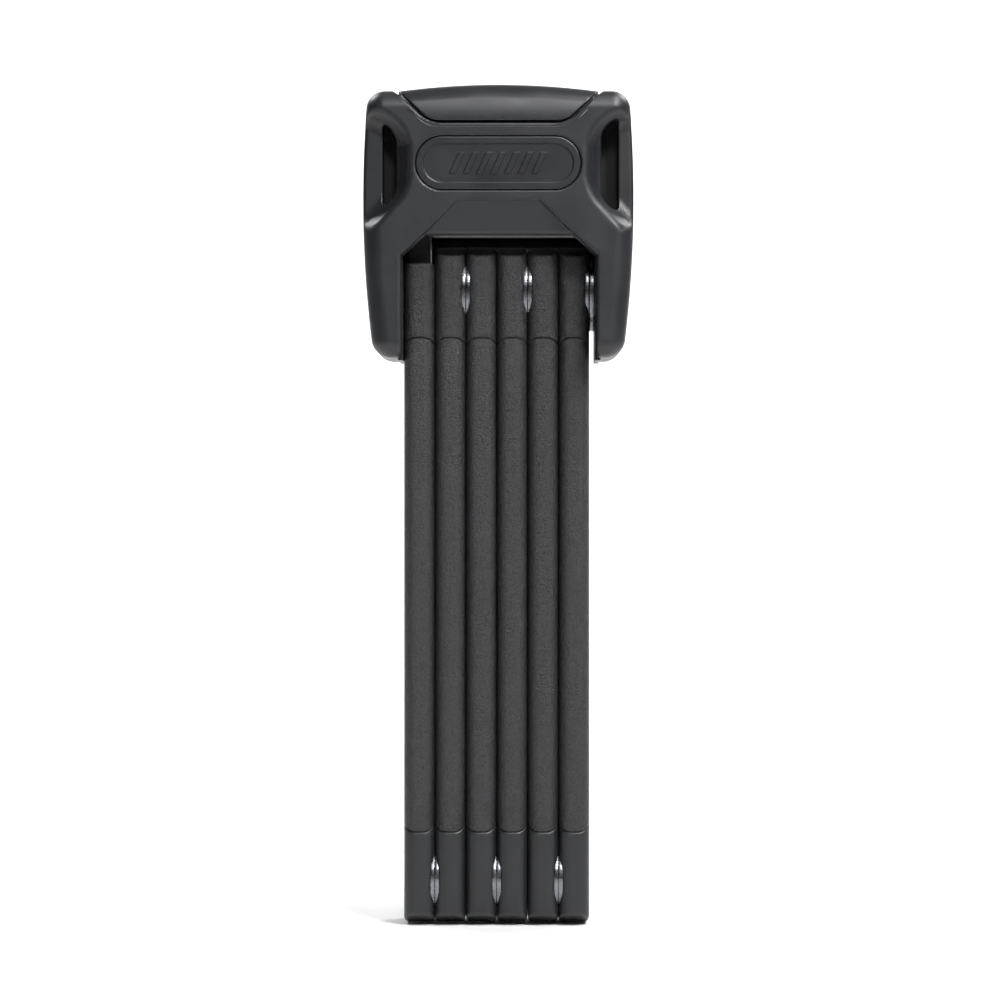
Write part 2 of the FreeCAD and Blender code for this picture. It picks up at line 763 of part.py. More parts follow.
def make_lock_case():
    ear_right = ear_face_x + ear_thickness
    block = box(-case_half_width, case_half_width, -case_half_depth, case_half_depth, case_floor_z, case_top_z)
    left_rib = box(-case_half_width - left_rib_width, -case_half_width, -rib_half_width, rib_half_width,
                   case_floor_z, case_top_z - rib_top_gap)
    right_rib = box(ear_face_x, ear_right, -rib_half_width, rib_half_width,
                    pivot_high_z + ear_root_rise, case_top_z - rib_top_gap)
    ear = joined([
        box(ear_face_x, ear_right, -ear_half_width, ear_half_width, pivot_high_z,
            pivot_high_z + ear_root_rise),
        rod_x(ear_half_width, ear_face_x, ear_right, 0, pivot_high_z),
    ])
    case = joined([block, left_rib, right_rib, ear])
    cuts = [
        rod_z(housing_radius, cam_bottom_z - turning_gap, case_top_z + 1),
        rod_z(housing_radius + guard_step, housing_top_z, case_top_z + 1),
        rod_x(bolt_radius + running_clearance, bolt_tip_x - tongue_clearance, yoke_front_x, 0, bolt_z),
        box(yoke_front_x - yoke_clearance, yoke_back_x + bolt_stroke + yoke_clearance,
            -yoke_half_width - yoke_clearance, yoke_half_width + yoke_clearance,
            case_floor_z - 1, cam_bottom_z - turning_gap / 2),
        tongue_hole(tongue_clearance, case_floor_z - 1, tongue_top_z + tongue_clearance),
    ]
    cuts += fixed_hole(ear_face_x, ear_right, pivot_high_z)
    for x, z in cover_screw_places():
        if z > arch_z:
            cuts.append(rod_y(cover_screw_radius + screw_side_clearance, -case_half_depth - 1,
                              case_half_depth + 1, x, z))
    for x, y in plate_screw_places():
        cuts.append(rod_z(plate_screw_radius, case_floor_z - 1, case_bottom_z + plate_screw_length, x, y))
    save("lock_case", without(case, cuts))


def make_case_plate():
    trim = 0.1
    plate = box(trim - case_half_width, case_half_width - trim, -case_half_depth, case_half_depth,
                case_bottom_z, case_floor_z)
    cuts = [tongue_hole(tongue_clearance, case_bottom_z - 1, case_floor_z + 1)]
    screws = []
    head = plate_screw_head_radius - plate_screw_radius
    for x, y in plate_screw_places():
        cone = Part.makeCone(plate_screw_head_radius, plate_screw_radius, head, Vec(x, y, case_bottom_z))
        shank = rod_z(plate_screw_radius, case_bottom_z, case_bottom_z + plate_screw_length, x, y)
        socket = rod_z(screw_socket_share * plate_screw_radius, case_bottom_z,
                       case_bottom_z + screw_socket_depth, x, y)
        cuts += [cone, shank]
        screws.append(joined([cone, shank]).cut(socket))
    save("case_plate", without(plate, cuts))
    save("case_plate_screws", *screws)


def make_body_pivot():
    z = pivot_high_z
    save("body_pivot_rivet", rivet(ear_face_x + ear_thickness, bar_x(1) - core_thickness / 2, z))
    save("body_pivot_washer", washer(ear_face_x - ear_washer_thickness, ear_washer_thickness, z))


def leg_liner_blocks(clearance):
    """Plates that close the legs towards the bars, grown by clearance except at their bar side."""
    half = body_half_depth - panel_depth - shell_wall + clearance
    low = body_bottom_z - liner_tip - clearance
    high = pivot_high_z + liner_rise + clearance
    deep = liner_thickness + clearance
    return [
        box(cavity_left_x - deep, cavity_left_x + clearance, -half, half, low, high),
        box(cavity_right_x - clearance, cavity_right_x + deep, -half, half, low, high),
    ]


def make_leg_liners():
    left, right = leg_liner_blocks(0)
    room = ear_half_width + liner_side_clearance
    around_ear = joined([
        box(0, body_widest_half_width, -room, room, pivot_high_z, arch_z),
        rod_x(room, 0, body_widest_half_width, 0, pivot_high_z),
    ])
    save("left_leg_liner", left)
    save("right_leg_liner", right.cut(around_ear))


# ---------------------------------------------------------------- key cylinder
def keyway(z0, z1):
    return box(-keyway_half_width, keyway_half_width, -keyway_half_length, keyway_half_length, z0, z1)


def make_cylinder():
    housing = rod_z(housing_radius, housing_bottom_z, housing_top_z)
    bore = rod_z(plug_radius + running_clearance, housing_bottom_z - 1, housing_top_z + 1)
    save("cylinder_housing", housing.cut(bore))

    guard = rod_z(housing_radius + guard_step - guard_clearance, housing_top_z, case_top_z)
    save("anti_drill_plate",
         guard.cut(rod_z(keyway_half_length + turning_gap, housing_top_z - 1, case_top_z + 1)))

    first_disc_z = housing_bottom_z + disc_floor
    stack = disc_count * (disc_thickness + disc_gap)
    chamber = rod_z(plug_bore_radius, first_disc_z, first_disc_z + stack)
    sidebar_y = plug_radius - sidebar_radius - sidebar_cover
    sidebar = rod_z(sidebar_radius, first_disc_z, first_disc_z + stack, 0, sidebar_y)
    plug = joined([
        rod_z(plug_radius, cam_bottom_z, plug_top_z),
        rod_z(cam_radius, cam_bottom_z, cam_bottom_z + cam_thickness),
        rod_z(cam_pin_radius, bolt_z - bolt_radius + cam_lift, cam_bottom_z + cam_thickness, cam_rest_x,
              cam_rest_y),
    ])
    slot = box(-sidebar_radius, sidebar_radius, sidebar_y, plug_radius + 1, first_disc_z, first_disc_z + stack)
    save("cylinder_plug", without(plug, [chamber, sidebar, slot, keyway(first_disc_z, plug_top_z + 1)]))
    save("sidebar", sidebar)

    discs = []
    for number in range(disc_count):
        z = first_disc_z + number * (disc_thickness + disc_gap)
        disc = rod_z(plug_bore_radius - 0.1, z, z + disc_thickness)
        discs.append(disc.cut(keyway(z, z + disc_thickness)))
    save("detainer_discs", *discs)


def make_locking_bolt():
    yoke = box(yoke_front_x, yoke_back_x, -yoke_half_width, yoke_half_width,
               bolt_z - bolt_radius, bolt_z + bolt_radius)
    pin = rod_x(bolt_radius, bolt_tip_x, yoke_front_x + 1, 0, bolt_z)
    half_gap = cam_pin_radius + cam_pin_clearance
    cam_slot = box(cam_rest_x - half_gap, cam_rest_x + half_gap, -cam_throw - half_gap, cam_rest_y + half_gap,
                   bolt_z - bolt_radius - 1, bolt_z + bolt_radius + 1)
    save("locking_bolt", joined([yoke, pin]).cut(cam_slot))


# ---------------------------------------------------------------- the whole lock
os.makedirs("parts", exist_ok=True)
for bar in range(1, bar_count + 1):
    make_bar(bar)
make_covers()
make_cover_screws()
make_badge()
make_top_cap()
make_keyhole_shutter()
make_lock_case()
make_case_plate()
make_body_pivot()
make_leg_liners()
make_cylinder()
make_locking_bolt()
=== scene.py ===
import json
import math

import bpy
import numpy as np
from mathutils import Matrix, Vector


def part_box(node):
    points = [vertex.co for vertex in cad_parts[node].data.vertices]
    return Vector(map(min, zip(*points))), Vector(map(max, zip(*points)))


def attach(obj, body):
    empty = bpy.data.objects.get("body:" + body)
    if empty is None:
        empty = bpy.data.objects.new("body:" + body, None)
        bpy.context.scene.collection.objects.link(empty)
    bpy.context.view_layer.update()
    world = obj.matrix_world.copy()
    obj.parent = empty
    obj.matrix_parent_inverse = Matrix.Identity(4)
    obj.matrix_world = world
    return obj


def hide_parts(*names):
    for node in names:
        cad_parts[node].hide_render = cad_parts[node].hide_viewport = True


bl_info = {
    "name": "Folding bike lock",
    "version": (1, 0, 0),
    "blender": (4, 5, 0),
    "location": "3D View > Sidebar > Folding lock",
    "description": "Builds the shell, bars, washers and studio of a folding bike lock around its frame",
    "category": "Object",
}

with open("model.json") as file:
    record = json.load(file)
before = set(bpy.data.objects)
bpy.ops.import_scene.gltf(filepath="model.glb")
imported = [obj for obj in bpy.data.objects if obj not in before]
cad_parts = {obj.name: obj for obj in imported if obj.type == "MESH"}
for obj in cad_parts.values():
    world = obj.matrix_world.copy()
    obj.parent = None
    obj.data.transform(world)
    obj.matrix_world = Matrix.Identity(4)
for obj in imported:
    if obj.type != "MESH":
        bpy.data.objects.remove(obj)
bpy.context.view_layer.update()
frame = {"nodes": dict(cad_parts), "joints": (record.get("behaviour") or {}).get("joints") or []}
NODES = frame["nodes"]
BAR_COUNT = 6
MM = 0.001


# ---- places read from the frame
def node_box(name):
    """Lowest and highest corner of a node, in millimetres."""
    low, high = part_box(name)
    return [value / MM for value in low], [value / MM for value in high]


def node_middle(name):
    low, high = node_box(name)
    return [(a + b) / 2 for a, b in zip(low, high)]


SHELL_LOW, SHELL_HIGH = node_box("front_cover")
CAP_LOW, CAP_HIGH = node_box("top_cap")
BADGE_LOW, BADGE_HIGH = node_box("badge_plate")
SHUTTER_LOW, SHUTTER_HIGH = node_box("keyhole_shutter")
CORE_LOW, CORE_HIGH = node_box("link_1_core")
CORE_RADIUS = (CORE_HIGH[1] - CORE_LOW[1]) / 2
PIVOT_LOW = CORE_LOW[2] + CORE_RADIUS
PIVOT_HIGH = CORE_HIGH[2] - CORE_RADIUS
COLLAR_TOP = node_box("link_6_upper_cap")[1][2]
HALF_DEPTH = -SHELL_LOW[1]
LEFT_WALL = node_box("left_leg_liner")[1][0]
RIGHT_WALL = node_box("right_leg_liner")[0][0]
CASE_TOP = node_box("lock_case")[1][2]
GUARD_RIGHT = node_box("link_6_sleeve")[1][0] - 0.25


# Fixed sizes of the shell, the caps and what they fit round, in millimetres
SHELL_TOP_HALF, SHELL_FOOT_HALF, SHELL_WIDEST_RISE = 32.5, 31.0, 17.0
LEG_SCREW = (28.3, SHELL_LOW[2] + 4.2)
TOP_SCREW = (13.5, SHELL_HIGH[2] - 4.9)
SCREW_HEAD, BOSS, SCREW_HOLE, SCREW_THREAD = 2.2, 2.4, 1.3, 1.25
LEG_SCREW_FLOOR, TOP_SCREW_FLOOR, BORE_COVER = 13.1, 16.2, 3.4
CASE_HALF_DEPTH, HOUSING_RADIUS, PLUG_HOLE = 12.9, 9.0, 5.1
SHUTTER_CORNER = 2.0
CAP_WALL, SCOOP_WALL, SLOT_WALL = 1.2, 1.4, 1.0
LINER_HALF, LINER_REACH, LINER_RISE = 0.6, 14.2, 7.1
LINER_POCKET = LINER_HALF + 0.1
TONGUE_HALF_WIDTH = 7.0
WASHER_BORE = 4.1
FIT = 0.15


# ---- sizes and colours a user may change
def millimetres(label, about, default):
    """A size that a user may change."""
    return bpy.props.FloatProperty(name=label, description=about + ", mm", default=default)


class ShellSizes(bpy.types.PropertyGroup):
    """Millimetre sizes of the body shell that the frame's boxes don't give."""
    corner_round: millimetres("Corner rounding", "Radius of the shell's corners seen from the front", 4.3)
    rim_round: millimetres("Rim rounding", "Radius of the rolled front and back rims", 4.6)
    crisp_round: millimetres("Crease rounding", "Radius of the moulded creases", 0.35)
    arch_round: millimetres("Arch rounding", "Radius of the arch's edge", 1.1)
    wall: millimetres("Wall", "Thickness of the shell's wall", 2.4)
    arch_rise: millimetres("Arch rise", "Front arch above the upper pivots", 12.95)
    rear_arch_rise: millimetres("Rear arch rise", "Rear arch above the upper pivots", 11.3)
    corner_rise: millimetres("Arch corner rise", "Start of the arch's slants above the upper pivots", 7.9)
    corner_run: millimetres("Arch corner run", "Width of the arch's slants", 5.8)
    panel_rise: millimetres("Panel rise", "Top of the sloping panel above the upper pivots", 21.45)
    panel_half_width: millimetres("Panel half width", "Half the panel's top edge", 10.2)
    panel_step: millimetres("Panel step", "Depth of the panel's top edge", 0.4)
    panel_depth: millimetres("Panel depth", "Depth of the panel's foot", 3.0)
    scoop_rise: millimetres("Scoop rise", "Middle of the grip scoops above the upper pivots", 29.4)
    scoop_depth: millimetres("Scoop depth", "Depth of the grip scoops", 5.0)
    scoop_slope: bpy.props.FloatProperty(
        name="Scoop slope", description="Width of a scoop's slanting wall per depth", default=0.68)
    slot_depth: millimetres("Slot depth", "Depth of the latch slots below the scoop floor", 9.0)
    cap_gap: millimetres("Cap gap", "Gap round the top cap", 0.12)
    cap_toe: millimetres("Cap toe rounding", "Reach of the top cap's rounded lower corners", 1.5)
    cap_lower: millimetres("Cap lower half width", "Half the top cap's lower edge before rounding", 17.0)
    crown_radius: millimetres("Crown radius", "Radius of the top cap's arched crown", 177.3)
    cap_bulge: bpy.props.FloatProperty(
        name="Cap bulge", description="Curve of the top cap's front and back, 1/mm", default=0.024)
    groove_width: millimetres("Groove width", "Width of the groove round the top cap", 0.65)
    groove_depth: millimetres("Groove depth", "Depth of the groove round the top cap", 1.0)
    bead_gap: millimetres("Bead gap", "Distance from the top cap to the fine bead outside its groove", 1.65)
    bead_half_width: millimetres("Bead half width", "Half the width of the fine bead", 0.27)
    slot_rise: millimetres("Slot rise", "Middle of the latch slots above the upper pivots", 30.55)
    slot_bend: millimetres("Slot bend", "Height of a slot's bent ends", 4.6)
    slot_tip: millimetres("Slot tip", "Radius of a slot's tips", 0.8)
    left_slot: bpy.props.FloatVectorProperty(
        name="Left slot", description="Inner side, outer side and half height of the left slots, mm",
        default=(25.4, 28.8, 9.9))
    right_slot: bpy.props.FloatVectorProperty(
        name="Right slot", description="Inner side, outer side and half height of the right slots, mm",
        default=(25.6, 29.9, 11.25))
    guard_rise: millimetres(
        "Tongue guard rise", "Lower edge of the tab behind the tongue above the upper pivots", 5.5)


class BarSizes(bpy.types.PropertyGroup):
    """Millimetre sizes of the bars' coats."""
    edge_round: millimetres("Edge rounding", "Radius of the bars' long edges", 3.0)
    end_shoulder: millimetres("End shoulder", "Pivot to the corner of a bar's end", 8.2)
    end_round: millimetres("End rounding", "Radius round a bar's end edges", 0.4)
    end_taper: millimetres("End taper", "How much a bar's sides draw in at its lower end", 0.42)
    end_taper_length: millimetres("End taper length", "Length over which the sides draw in", 2.4)
    cap_reach: millimetres("Cap reach", "Radius of an end cap about its pivot", 16.2)
    seam_gap: millimetres("Seam gap", "Gap between end cap and sleeve", 0.2)
    seam_round: millimetres("Seam rounding", "Radius of the edges at the seam", 0.3)
    washer_round: millimetres("Washer rounding", "Radius of a washer's edges", 0.18)


class Finishes(bpy.types.PropertyGroup):
    """Base colours of the finishes."""
    shell: bpy.props.StringProperty(name="Shell", description="Moulded shell, sRGB hex", default="1e1f22")
    sleeve: bpy.props.StringProperty(name="Sleeve", description="Bar sleeves, sRGB hex", default="1f1f21")
    end_cap: bpy.props.StringProperty(name="End cap", description="Bar end caps, sRGB hex", default="1c1d1f")
    coated_steel: bpy.props.StringProperty(
        name="Coated steel", description="Black coated steel, sRGB hex", default="1d1e20")
    bright_steel: bpy.props.StringProperty(
        name="Bright steel", description="Bright steel, sRGB hex", default="7d7f82")
    brass: bpy.props.StringProperty(name="Brass", description="Key cylinder, sRGB hex", default="c9a86a")


def settings():
    scene = bpy.context.scene
    return scene.lock_shell, scene.lock_bars, scene.lock_finishes


# ---- shapes as distance rules
# Each rule gives, for arrays of x, y and z in millimetres, how far outside a solid a point is.
def both(a, b, radius=0.0):
    """Inside both solids, with the edge between them rounded."""
    if radius <= 0:
        return np.maximum(a, b)
    reach = np.hypot(np.maximum(a + radius, 0), np.maximum(b + radius, 0))
    return np.minimum(-radius, np.maximum(a, b)) + reach


def less(a, b, radius=0.0):
    """The first solid without the second, with the edge between them rounded."""
    return both(a, -b, radius)


def slab(u, low, high):
    return np.maximum(low - u, u - high)


def plate(u, v, half_u, half_v, radius):
    """Rectangle with round corners."""
    du = np.abs(u) - (half_u - radius)
    dv = np.abs(v) - (half_v - radius)
    return np.hypot(np.maximum(du, 0), np.maximum(dv, 0)) + np.minimum(np.maximum(du, dv), 0) - radius


def polygon(u, v, points):
    """Outline through a list of corners."""
    nearest = np.full(u.shape, 1e9)
    inside = np.zeros(u.shape, bool)
    for (ax, ay), (bx, by) in zip(points, points[1:] + points[:1]):
        ex, ey = bx - ax, by - ay
        along = np.clip(((u - ax) * ex + (v - ay) * ey) / (ex * ex + ey * ey), 0, 1)
        nearest = np.minimum(nearest, np.hypot(u - ax - along * ex, v - ay - along * ey))
        crosses = (ay > v) != (by > v)
        with np.errstate(divide="ignore", invalid="ignore"):
            cut = ax + (v - ay) / (by - ay) * ex if by != ay else np.full(u.shape, 1e9)
        inside ^= crosses & (u < cut)
    return np.where(inside, -nearest, nearest)


def circle_through(a, b, c):
    """Centre and radius of the circle through three points."""
    ax, ay = a
    bx, by = b
    cx, cy = c
    d = 2 * (ax * (by - cy) + bx * (cy - ay) + cx * (ay - by))
    sa, sb, sc = ax * ax + ay * ay, bx * bx + by * by, cx * cx + cy * cy
    ux = (sa * (by - cy) + sb * (cy - ay) + sc * (ay - by)) / d
    uy = (sa * (cx - bx) + sb * (ax - cx) + sc * (bx - ax)) / d
    return (ux, uy), math.hypot(ax - ux, ay - uy)


def arc_points(a, through, b, count):
    """Points from a to b on the circle through all three."""
    (cx, cy), radius = circle_through(a, through, b)
    start, middle, end = [math.atan2(p[1] - cy, p[0] - cx) for p in (a, through, b)]
    while middle < start:
        middle += 2 * math.pi
    while end < start:
        end += 2 * math.pi
    if middle > end:
        end -= 2 * math.pi
    angles = [start + (end - start) * i / count for i in range(count + 1)]
    return [(cx + radius * math.cos(t), cy + radius * math.sin(t)) for t in angles]


# ---- from a rule to a mesh
def slope_of(rule, points, step=0.02):
    """Outward direction of a rule at each point."""
    grad = np.empty_like(points)
    for axis in range(3):
        shift = np.zeros(3)
        shift[axis] = step
        grad[:, axis] = rule(*(points + shift).T) - rule(*(points - shift).T)
    length = np.linalg.norm(grad, axis=1, keepdims=True)
    return grad / np.maximum(length, 1e-9), length / (2 * step)


def near_surface(rule, axes, cell, block=6):
    """The rule on a grid, worked out point by point only in blocks that its surface may cross."""
    middles = [axis[::block] + cell * (block - 1) / 2 for axis in axes]
    coarse = rule(*np.meshgrid(*middles, indexing="ij"))
    for n in range(3):
        coarse = np.repeat(coarse, block, axis=n)
    grid = coarse[tuple(slice(0, len(axis)) for axis in axes)].copy()
    close = np.argwhere(np.abs(grid) < 1.3 * cell * block)
    points = [axes[n][close[:, n]] for n in range(3)]
    grid[tuple(close.T)] = rule(*points)
    return grid


def surface(rule, low, high, cell):
    """Quads and corners of the rule's surface: one corner for each grid cell that the surface crosses,
    pulled onto the surface, joined across each grid edge that the surface cuts."""
    low = np.array(low, float) - 2.5 * cell
    size = np.array(high, float) + 2.5 * cell - low
    count = np.ceil(size / cell).astype(int) + 1
    axes = [low[i] + cell * np.arange(count[i]) for i in range(3)]
    grid = near_surface(rule, axes, cell)
    solid = grid < 0
    total = np.zeros(tuple(count - 1) + (3,))
    hits = np.zeros(tuple(count - 1))
    corners = [(i, j, k) for i in (0, 1) for j in (0, 1) for k in (0, 1)]
    for a in corners:
        for axis in range(3):
            if a[axis]:
                continue
            b = tuple(1 if n == axis else a[n] for n in range(3))
            from_a = tuple(slice(a[n], a[n] + count[n] - 1) for n in range(3))
            from_b = tuple(slice(b[n], b[n] + count[n] - 1) for n in range(3))
            va, vb = grid[from_a], grid[from_b]
            cut = solid[from_a] != solid[from_b]
            share = np.where(cut, va / np.where(cut, va - vb, 1), 0)
            for n in range(3):
                at = share if n == axis else a[n]
                total[..., n] += np.where(cut, at, 0)
            hits += cut
    used = hits > 0
    number = np.full(hits.shape, -1)
    number[used] = np.arange(used.sum())
    place = np.argwhere(used)
    points = low + cell * (place + total[used] / hits[used][:, None])
    for _ in range(4):
        direction, rate = slope_of(rule, points)
        step = rule(*points.T)[:, None] / np.maximum(rate, 0.3)
        points -= direction * np.clip(step, -0.6 * cell, 0.6 * cell)
    quads = []
    for axis in range(3):
        u, v = [n for n in range(3) if n != axis]
        inner = [slice(1, count[n] - 1) for n in range(3)]
        inner[axis] = slice(0, count[axis] - 1)
        ahead = list(inner)
        ahead[axis] = slice(1, count[axis])
        here, there = solid[tuple(inner)], solid[tuple(ahead)]
        cut = np.argwhere(here != there)
        start = np.array([0 if n == axis else 1 for n in range(3)])
        base = cut + start
        enters = here[tuple(cut.T)]
        ring = []
        for du, dv in ((1, 1), (0, 1), (0, 0), (1, 0)):
            back = base.copy()
            back[:, u] -= du
            back[:, v] -= dv
            ring.append(number[tuple(back.T)])
        ring = np.stack(ring, axis=1)
        flip = enters if axis != 1 else ~enters
        ring[~flip] = ring[~flip][:, ::-1]
        quads.append(ring)
    quads = np.concatenate(quads)
    return points, quads


def mesh_piece(name, points, faces, smooth=True, normals=None):
    """A new object whose place is in its mesh, from points in millimetres."""
    mesh = bpy.data.meshes.new(name)
    mesh.from_pydata((np.asarray(points) * MM).tolist(), [], [list(map(int, face)) for face in faces])
    mesh.validate()
    mesh.update()
    if smooth:
        mesh.polygons.foreach_set("use_smooth", [True] * len(mesh.polygons))
    if normals is not None and len(normals) == len(mesh.vertices):
        mesh.normals_split_custom_set_from_vertices(normals.tolist())
    piece = bpy.data.objects.new(name, mesh)
    bpy.context.scene.collection.objects.link(piece)
    return piece


def solid_piece(name, rule, low, high, cell):
    """An object from a distance rule, shaded by the rule's own slope."""
    points, quads = surface(rule, low, high, cell)
    direction, _ = slope_of(rule, points)
    return mesh_piece(name, points, quads, normals=direction)


def loft_piece(name, rings):
    """A closed skin round a loop of rings, each with the same number of points."""
    count = len(rings[0])
    points = [point for ring in rings for point in ring]
    faces = []
    for i in range(len(rings)):
        here, there = i * count, (i + 1) % len(rings) * count
        for j in range(count):
            k = (j + 1) % count
            faces.append((here + j, here + k, there + k, there + j))
    return mesh_piece(name, points, faces)


# ---- finishes
def linear(hex_colour):
    """sRGB hex to linear RGBA."""
    parts = [int(hex_colour[i:i + 2], 16) / 255 for i in (0, 2, 4)]
    return [c / 12.92 if c <= 0.04045 else ((c + 0.055) / 1.055) ** 2.4 for c in parts] + [1.0]


def add(tree, kind, links=(), **values):
    """Adds a shader node, sets its values and links (socket, source) pairs to its inputs."""
    node = tree.nodes.new(kind)
    for key, value in values.items():
        if hasattr(node, key):
            setattr(node, key, value)
        else:
            node.inputs[key.replace("_", " ")].default_value = value
    for socket, source in links:
        tree.links.new(source, node.inputs[socket])
    return node


def new_finish(name):
    material = bpy.data.materials.new(name)
    material.use_nodes = True
    tree = material.node_tree
    tree.nodes.clear()
    place = tree.nodes.new("ShaderNodeTexCoord").outputs["Object"]
    return material, tree, place


def close_finish(tree, shader):
    output = tree.nodes.new("ShaderNodeOutputMaterial")
    tree.links.new(shader.outputs["BSDF"], output.inputs["Surface"])


def per_mm(size):
    """Noise scale, in features a metre, for features of a size in millimetres."""
    return 1.0 / (size * MM)


def moulded_nylon(name, hex_colour, roughness, grain_mm, grain_height_mm, painted_grain_shade):
    """Black glass-filled nylon from a spark-eroded mould: matt, with an even fine grain whose raised points
    get a painted highlight and whose pits get painted shade.
    """
    material, tree, place = new_finish(name)
    base = linear(hex_colour)
    grain = add(tree, "ShaderNodeTexNoise", [("Vector", place)],
                Scale=per_mm(grain_mm), Detail=3.0, Roughness=0.6)
    cloud = add(tree, "ShaderNodeTexNoise", [("Vector", place)],
                Scale=per_mm(9.0), Detail=4.0, Roughness=0.55)
    # painted highlight and shade: the base colour follows the grain's height, lighter on its raised points
    # and darker in its pits
    grain_height_and_shade = add(tree, "ShaderNodeMapRange", [("Value", grain.outputs["Fac"])], From_Min=0.36, From_Max=0.64)
    tone_with_painted_shade = add(tree, "ShaderNodeMix", [(0, grain_height_and_shade.outputs["Result"])], data_type="RGBA")
    tone_with_painted_shade.inputs[6].default_value = [c * (1 - painted_grain_shade) for c in base[:3]] + [1]
    tone_with_painted_shade.inputs[7].default_value = [c * (1 + painted_grain_shade) for c in base[:3]] + [1]
    rough = add(tree, "ShaderNodeMapRange", [("Value", cloud.outputs["Fac"])],
                From_Min=0.3, From_Max=0.7, To_Min=roughness - 0.05, To_Max=roughness + 0.05)
    bump = add(tree, "ShaderNodeBump", [("Height", grain_height_and_shade.outputs["Result"])],
               Strength=1.0, Distance=grain_height_mm * MM)
    shader = add(tree, "ShaderNodeBsdfPrincipled",
                 [("Base Color", tone_with_painted_shade.outputs[2]), ("Roughness", rough.outputs["Result"]),
                  ("Normal", bump.outputs["Normal"])], IOR=1.53)
    close_finish(tree, shader)
    return material


def black_coated_steel(name, hex_colour):
    """Hardened steel under a thin black cathodic coat: dark, half gloss, faintly uneven."""
    material, tree, place = new_finish(name)
    base = linear(hex_colour)
    peel = add(tree, "ShaderNodeTexNoise", [("Vector", place)], Scale=per_mm(1.1), Detail=2.0)
    rough = add(tree, "ShaderNodeMapRange", [("Value", peel.outputs["Fac"])],
                From_Min=0.3, From_Max=0.7, To_Min=0.36, To_Max=0.46)
    bump = add(tree, "ShaderNodeBump", [("Height", peel.outputs["Fac"])], Strength=1.0, Distance=0.01 * MM)
    shader = add(tree, "ShaderNodeBsdfPrincipled",
                 [("Roughness", rough.outputs["Result"]), ("Normal", bump.outputs["Normal"])], IOR=1.5)
    shader.inputs["Base Color"].default_value = base
    close_finish(tree, shader)
    return material


def turned_metal(name, hex_colour, roughness, axis="X"):
    """Metal faced on a lathe: fine rings about the origin's X or Z axis, metallic, low roughness."""
    material, tree, place = new_finish(name)
    turned = add(tree, "ShaderNodeMapping", [("Vector", place)])
    turned.inputs["Rotation"].default_value = (0, math.radians(90) if axis == "X" else 0, 0)
    rings = add(tree, "ShaderNodeTexWave", [("Vector", turned.outputs["Vector"])], wave_type="RINGS",
                rings_direction="Z", Scale=per_mm(TURNING_MARK) / 20, Distortion=0.6, Detail=2.0)
    smear = add(tree, "ShaderNodeTexNoise", [("Vector", place)], Scale=per_mm(1.6), Detail=3.0)
    rough = add(tree, "ShaderNodeMapRange", [("Value", smear.outputs["Fac"])],
                From_Min=0.3, From_Max=0.7, To_Min=roughness - 0.06, To_Max=roughness + 0.06)
    bump = add(tree, "ShaderNodeBump", [("Height", rings.outputs["Fac"])], Strength=0.5, Distance=0.01 * MM)
    shader = add(tree, "ShaderNodeBsdfPrincipled",
                 [("Roughness", rough.outputs["Result"]), ("Normal", bump.outputs["Normal"])], Metallic=1.0)
    shader.inputs["Base Color"].default_value = linear(hex_colour)
    close_finish(tree, shader)
    return material


FINISHES = {}
TURNING_MARK = 0.12


def finish_named(key):
    """Makes each finish once."""
    _, _, colours = settings()
    makers = {
        "shell": lambda: moulded_nylon("shell_moulded_nylon", colours.shell, roughness=0.44,
                                        grain_mm=0.35, grain_height_mm=0.006, painted_grain_shade=0.06),
        "cap": lambda: moulded_nylon("cap_moulded_nylon", colours.shell, roughness=0.38,
                                      grain_mm=0.35, grain_height_mm=0.004, painted_grain_shade=0.04),
        # the sleeves' grain carries the strongest painted highlight and shade
        "sleeve": lambda: moulded_nylon("sleeve_grained_rubber", colours.sleeve, roughness=0.42,
                                         grain_mm=0.42, grain_height_mm=0.12, painted_grain_shade=0.7),
        "end_cap": lambda: moulded_nylon("end_cap_moulded_nylon", colours.end_cap, roughness=0.44,
                                          grain_mm=0.4, grain_height_mm=0.008, painted_grain_shade=0.08),
        "coated": lambda: black_coated_steel("black_coated_steel", colours.coated_steel),
        "steel": lambda: turned_metal("turned_steel", colours.bright_steel, 0.26),
        "ground": lambda: turned_metal("ground_steel", colours.bright_steel, 0.34),
        "brass": lambda: turned_metal("turned_brass", colours.brass, 0.3, axis="Z"),
    }
    if key not in FINISHES:
        FINISHES[key] = makers[key]()
    return FINISHES[key]


def wear(piece, key):
    piece.data.materials.clear()
    piece.data.materials.append(finish_named(key))


def stand_for(piece, node, body, key):
    """Gives a piece its finish and puts it in place of a node."""
    wear(piece, key)
    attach(piece, body)
    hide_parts(node)


# ---- the body shell
def shell_blank(x, y, z, inset, sizes):
    """Filled outer shape: two bowed flanks, flat top and foot, rolled rims."""
    bottom, top = SHELL_LOW[2], SHELL_HIGH[2]
    (cx, cz), radius = circle_through(
        (SHELL_FOOT_HALF, bottom), (SHELL_HIGH[0], PIVOT_HIGH + SHELL_WIDEST_RISE), (SHELL_TOP_HALF, top))
    flank = np.hypot(np.abs(x) - cx, z - cz) - radius
    outline = both(flank, slab(z, bottom, top), sizes.corner_round)
    return both(outline, np.abs(y) - HALF_DEPTH, sizes.rim_round) + inset


def arch_outline(x, z, rise, sizes):
    low = SHELL_LOW[2] - 20
    corner = PIVOT_HIGH + sizes.corner_rise
    top = PIVOT_HIGH + rise
    points = [(LEFT_WALL, low), (LEFT_WALL, corner), (LEFT_WALL + sizes.corner_run, top),
              (RIGHT_WALL - sizes.corner_run, top), (RIGHT_WALL, corner), (RIGHT_WALL, low)]
    return polygon(x, z, points)


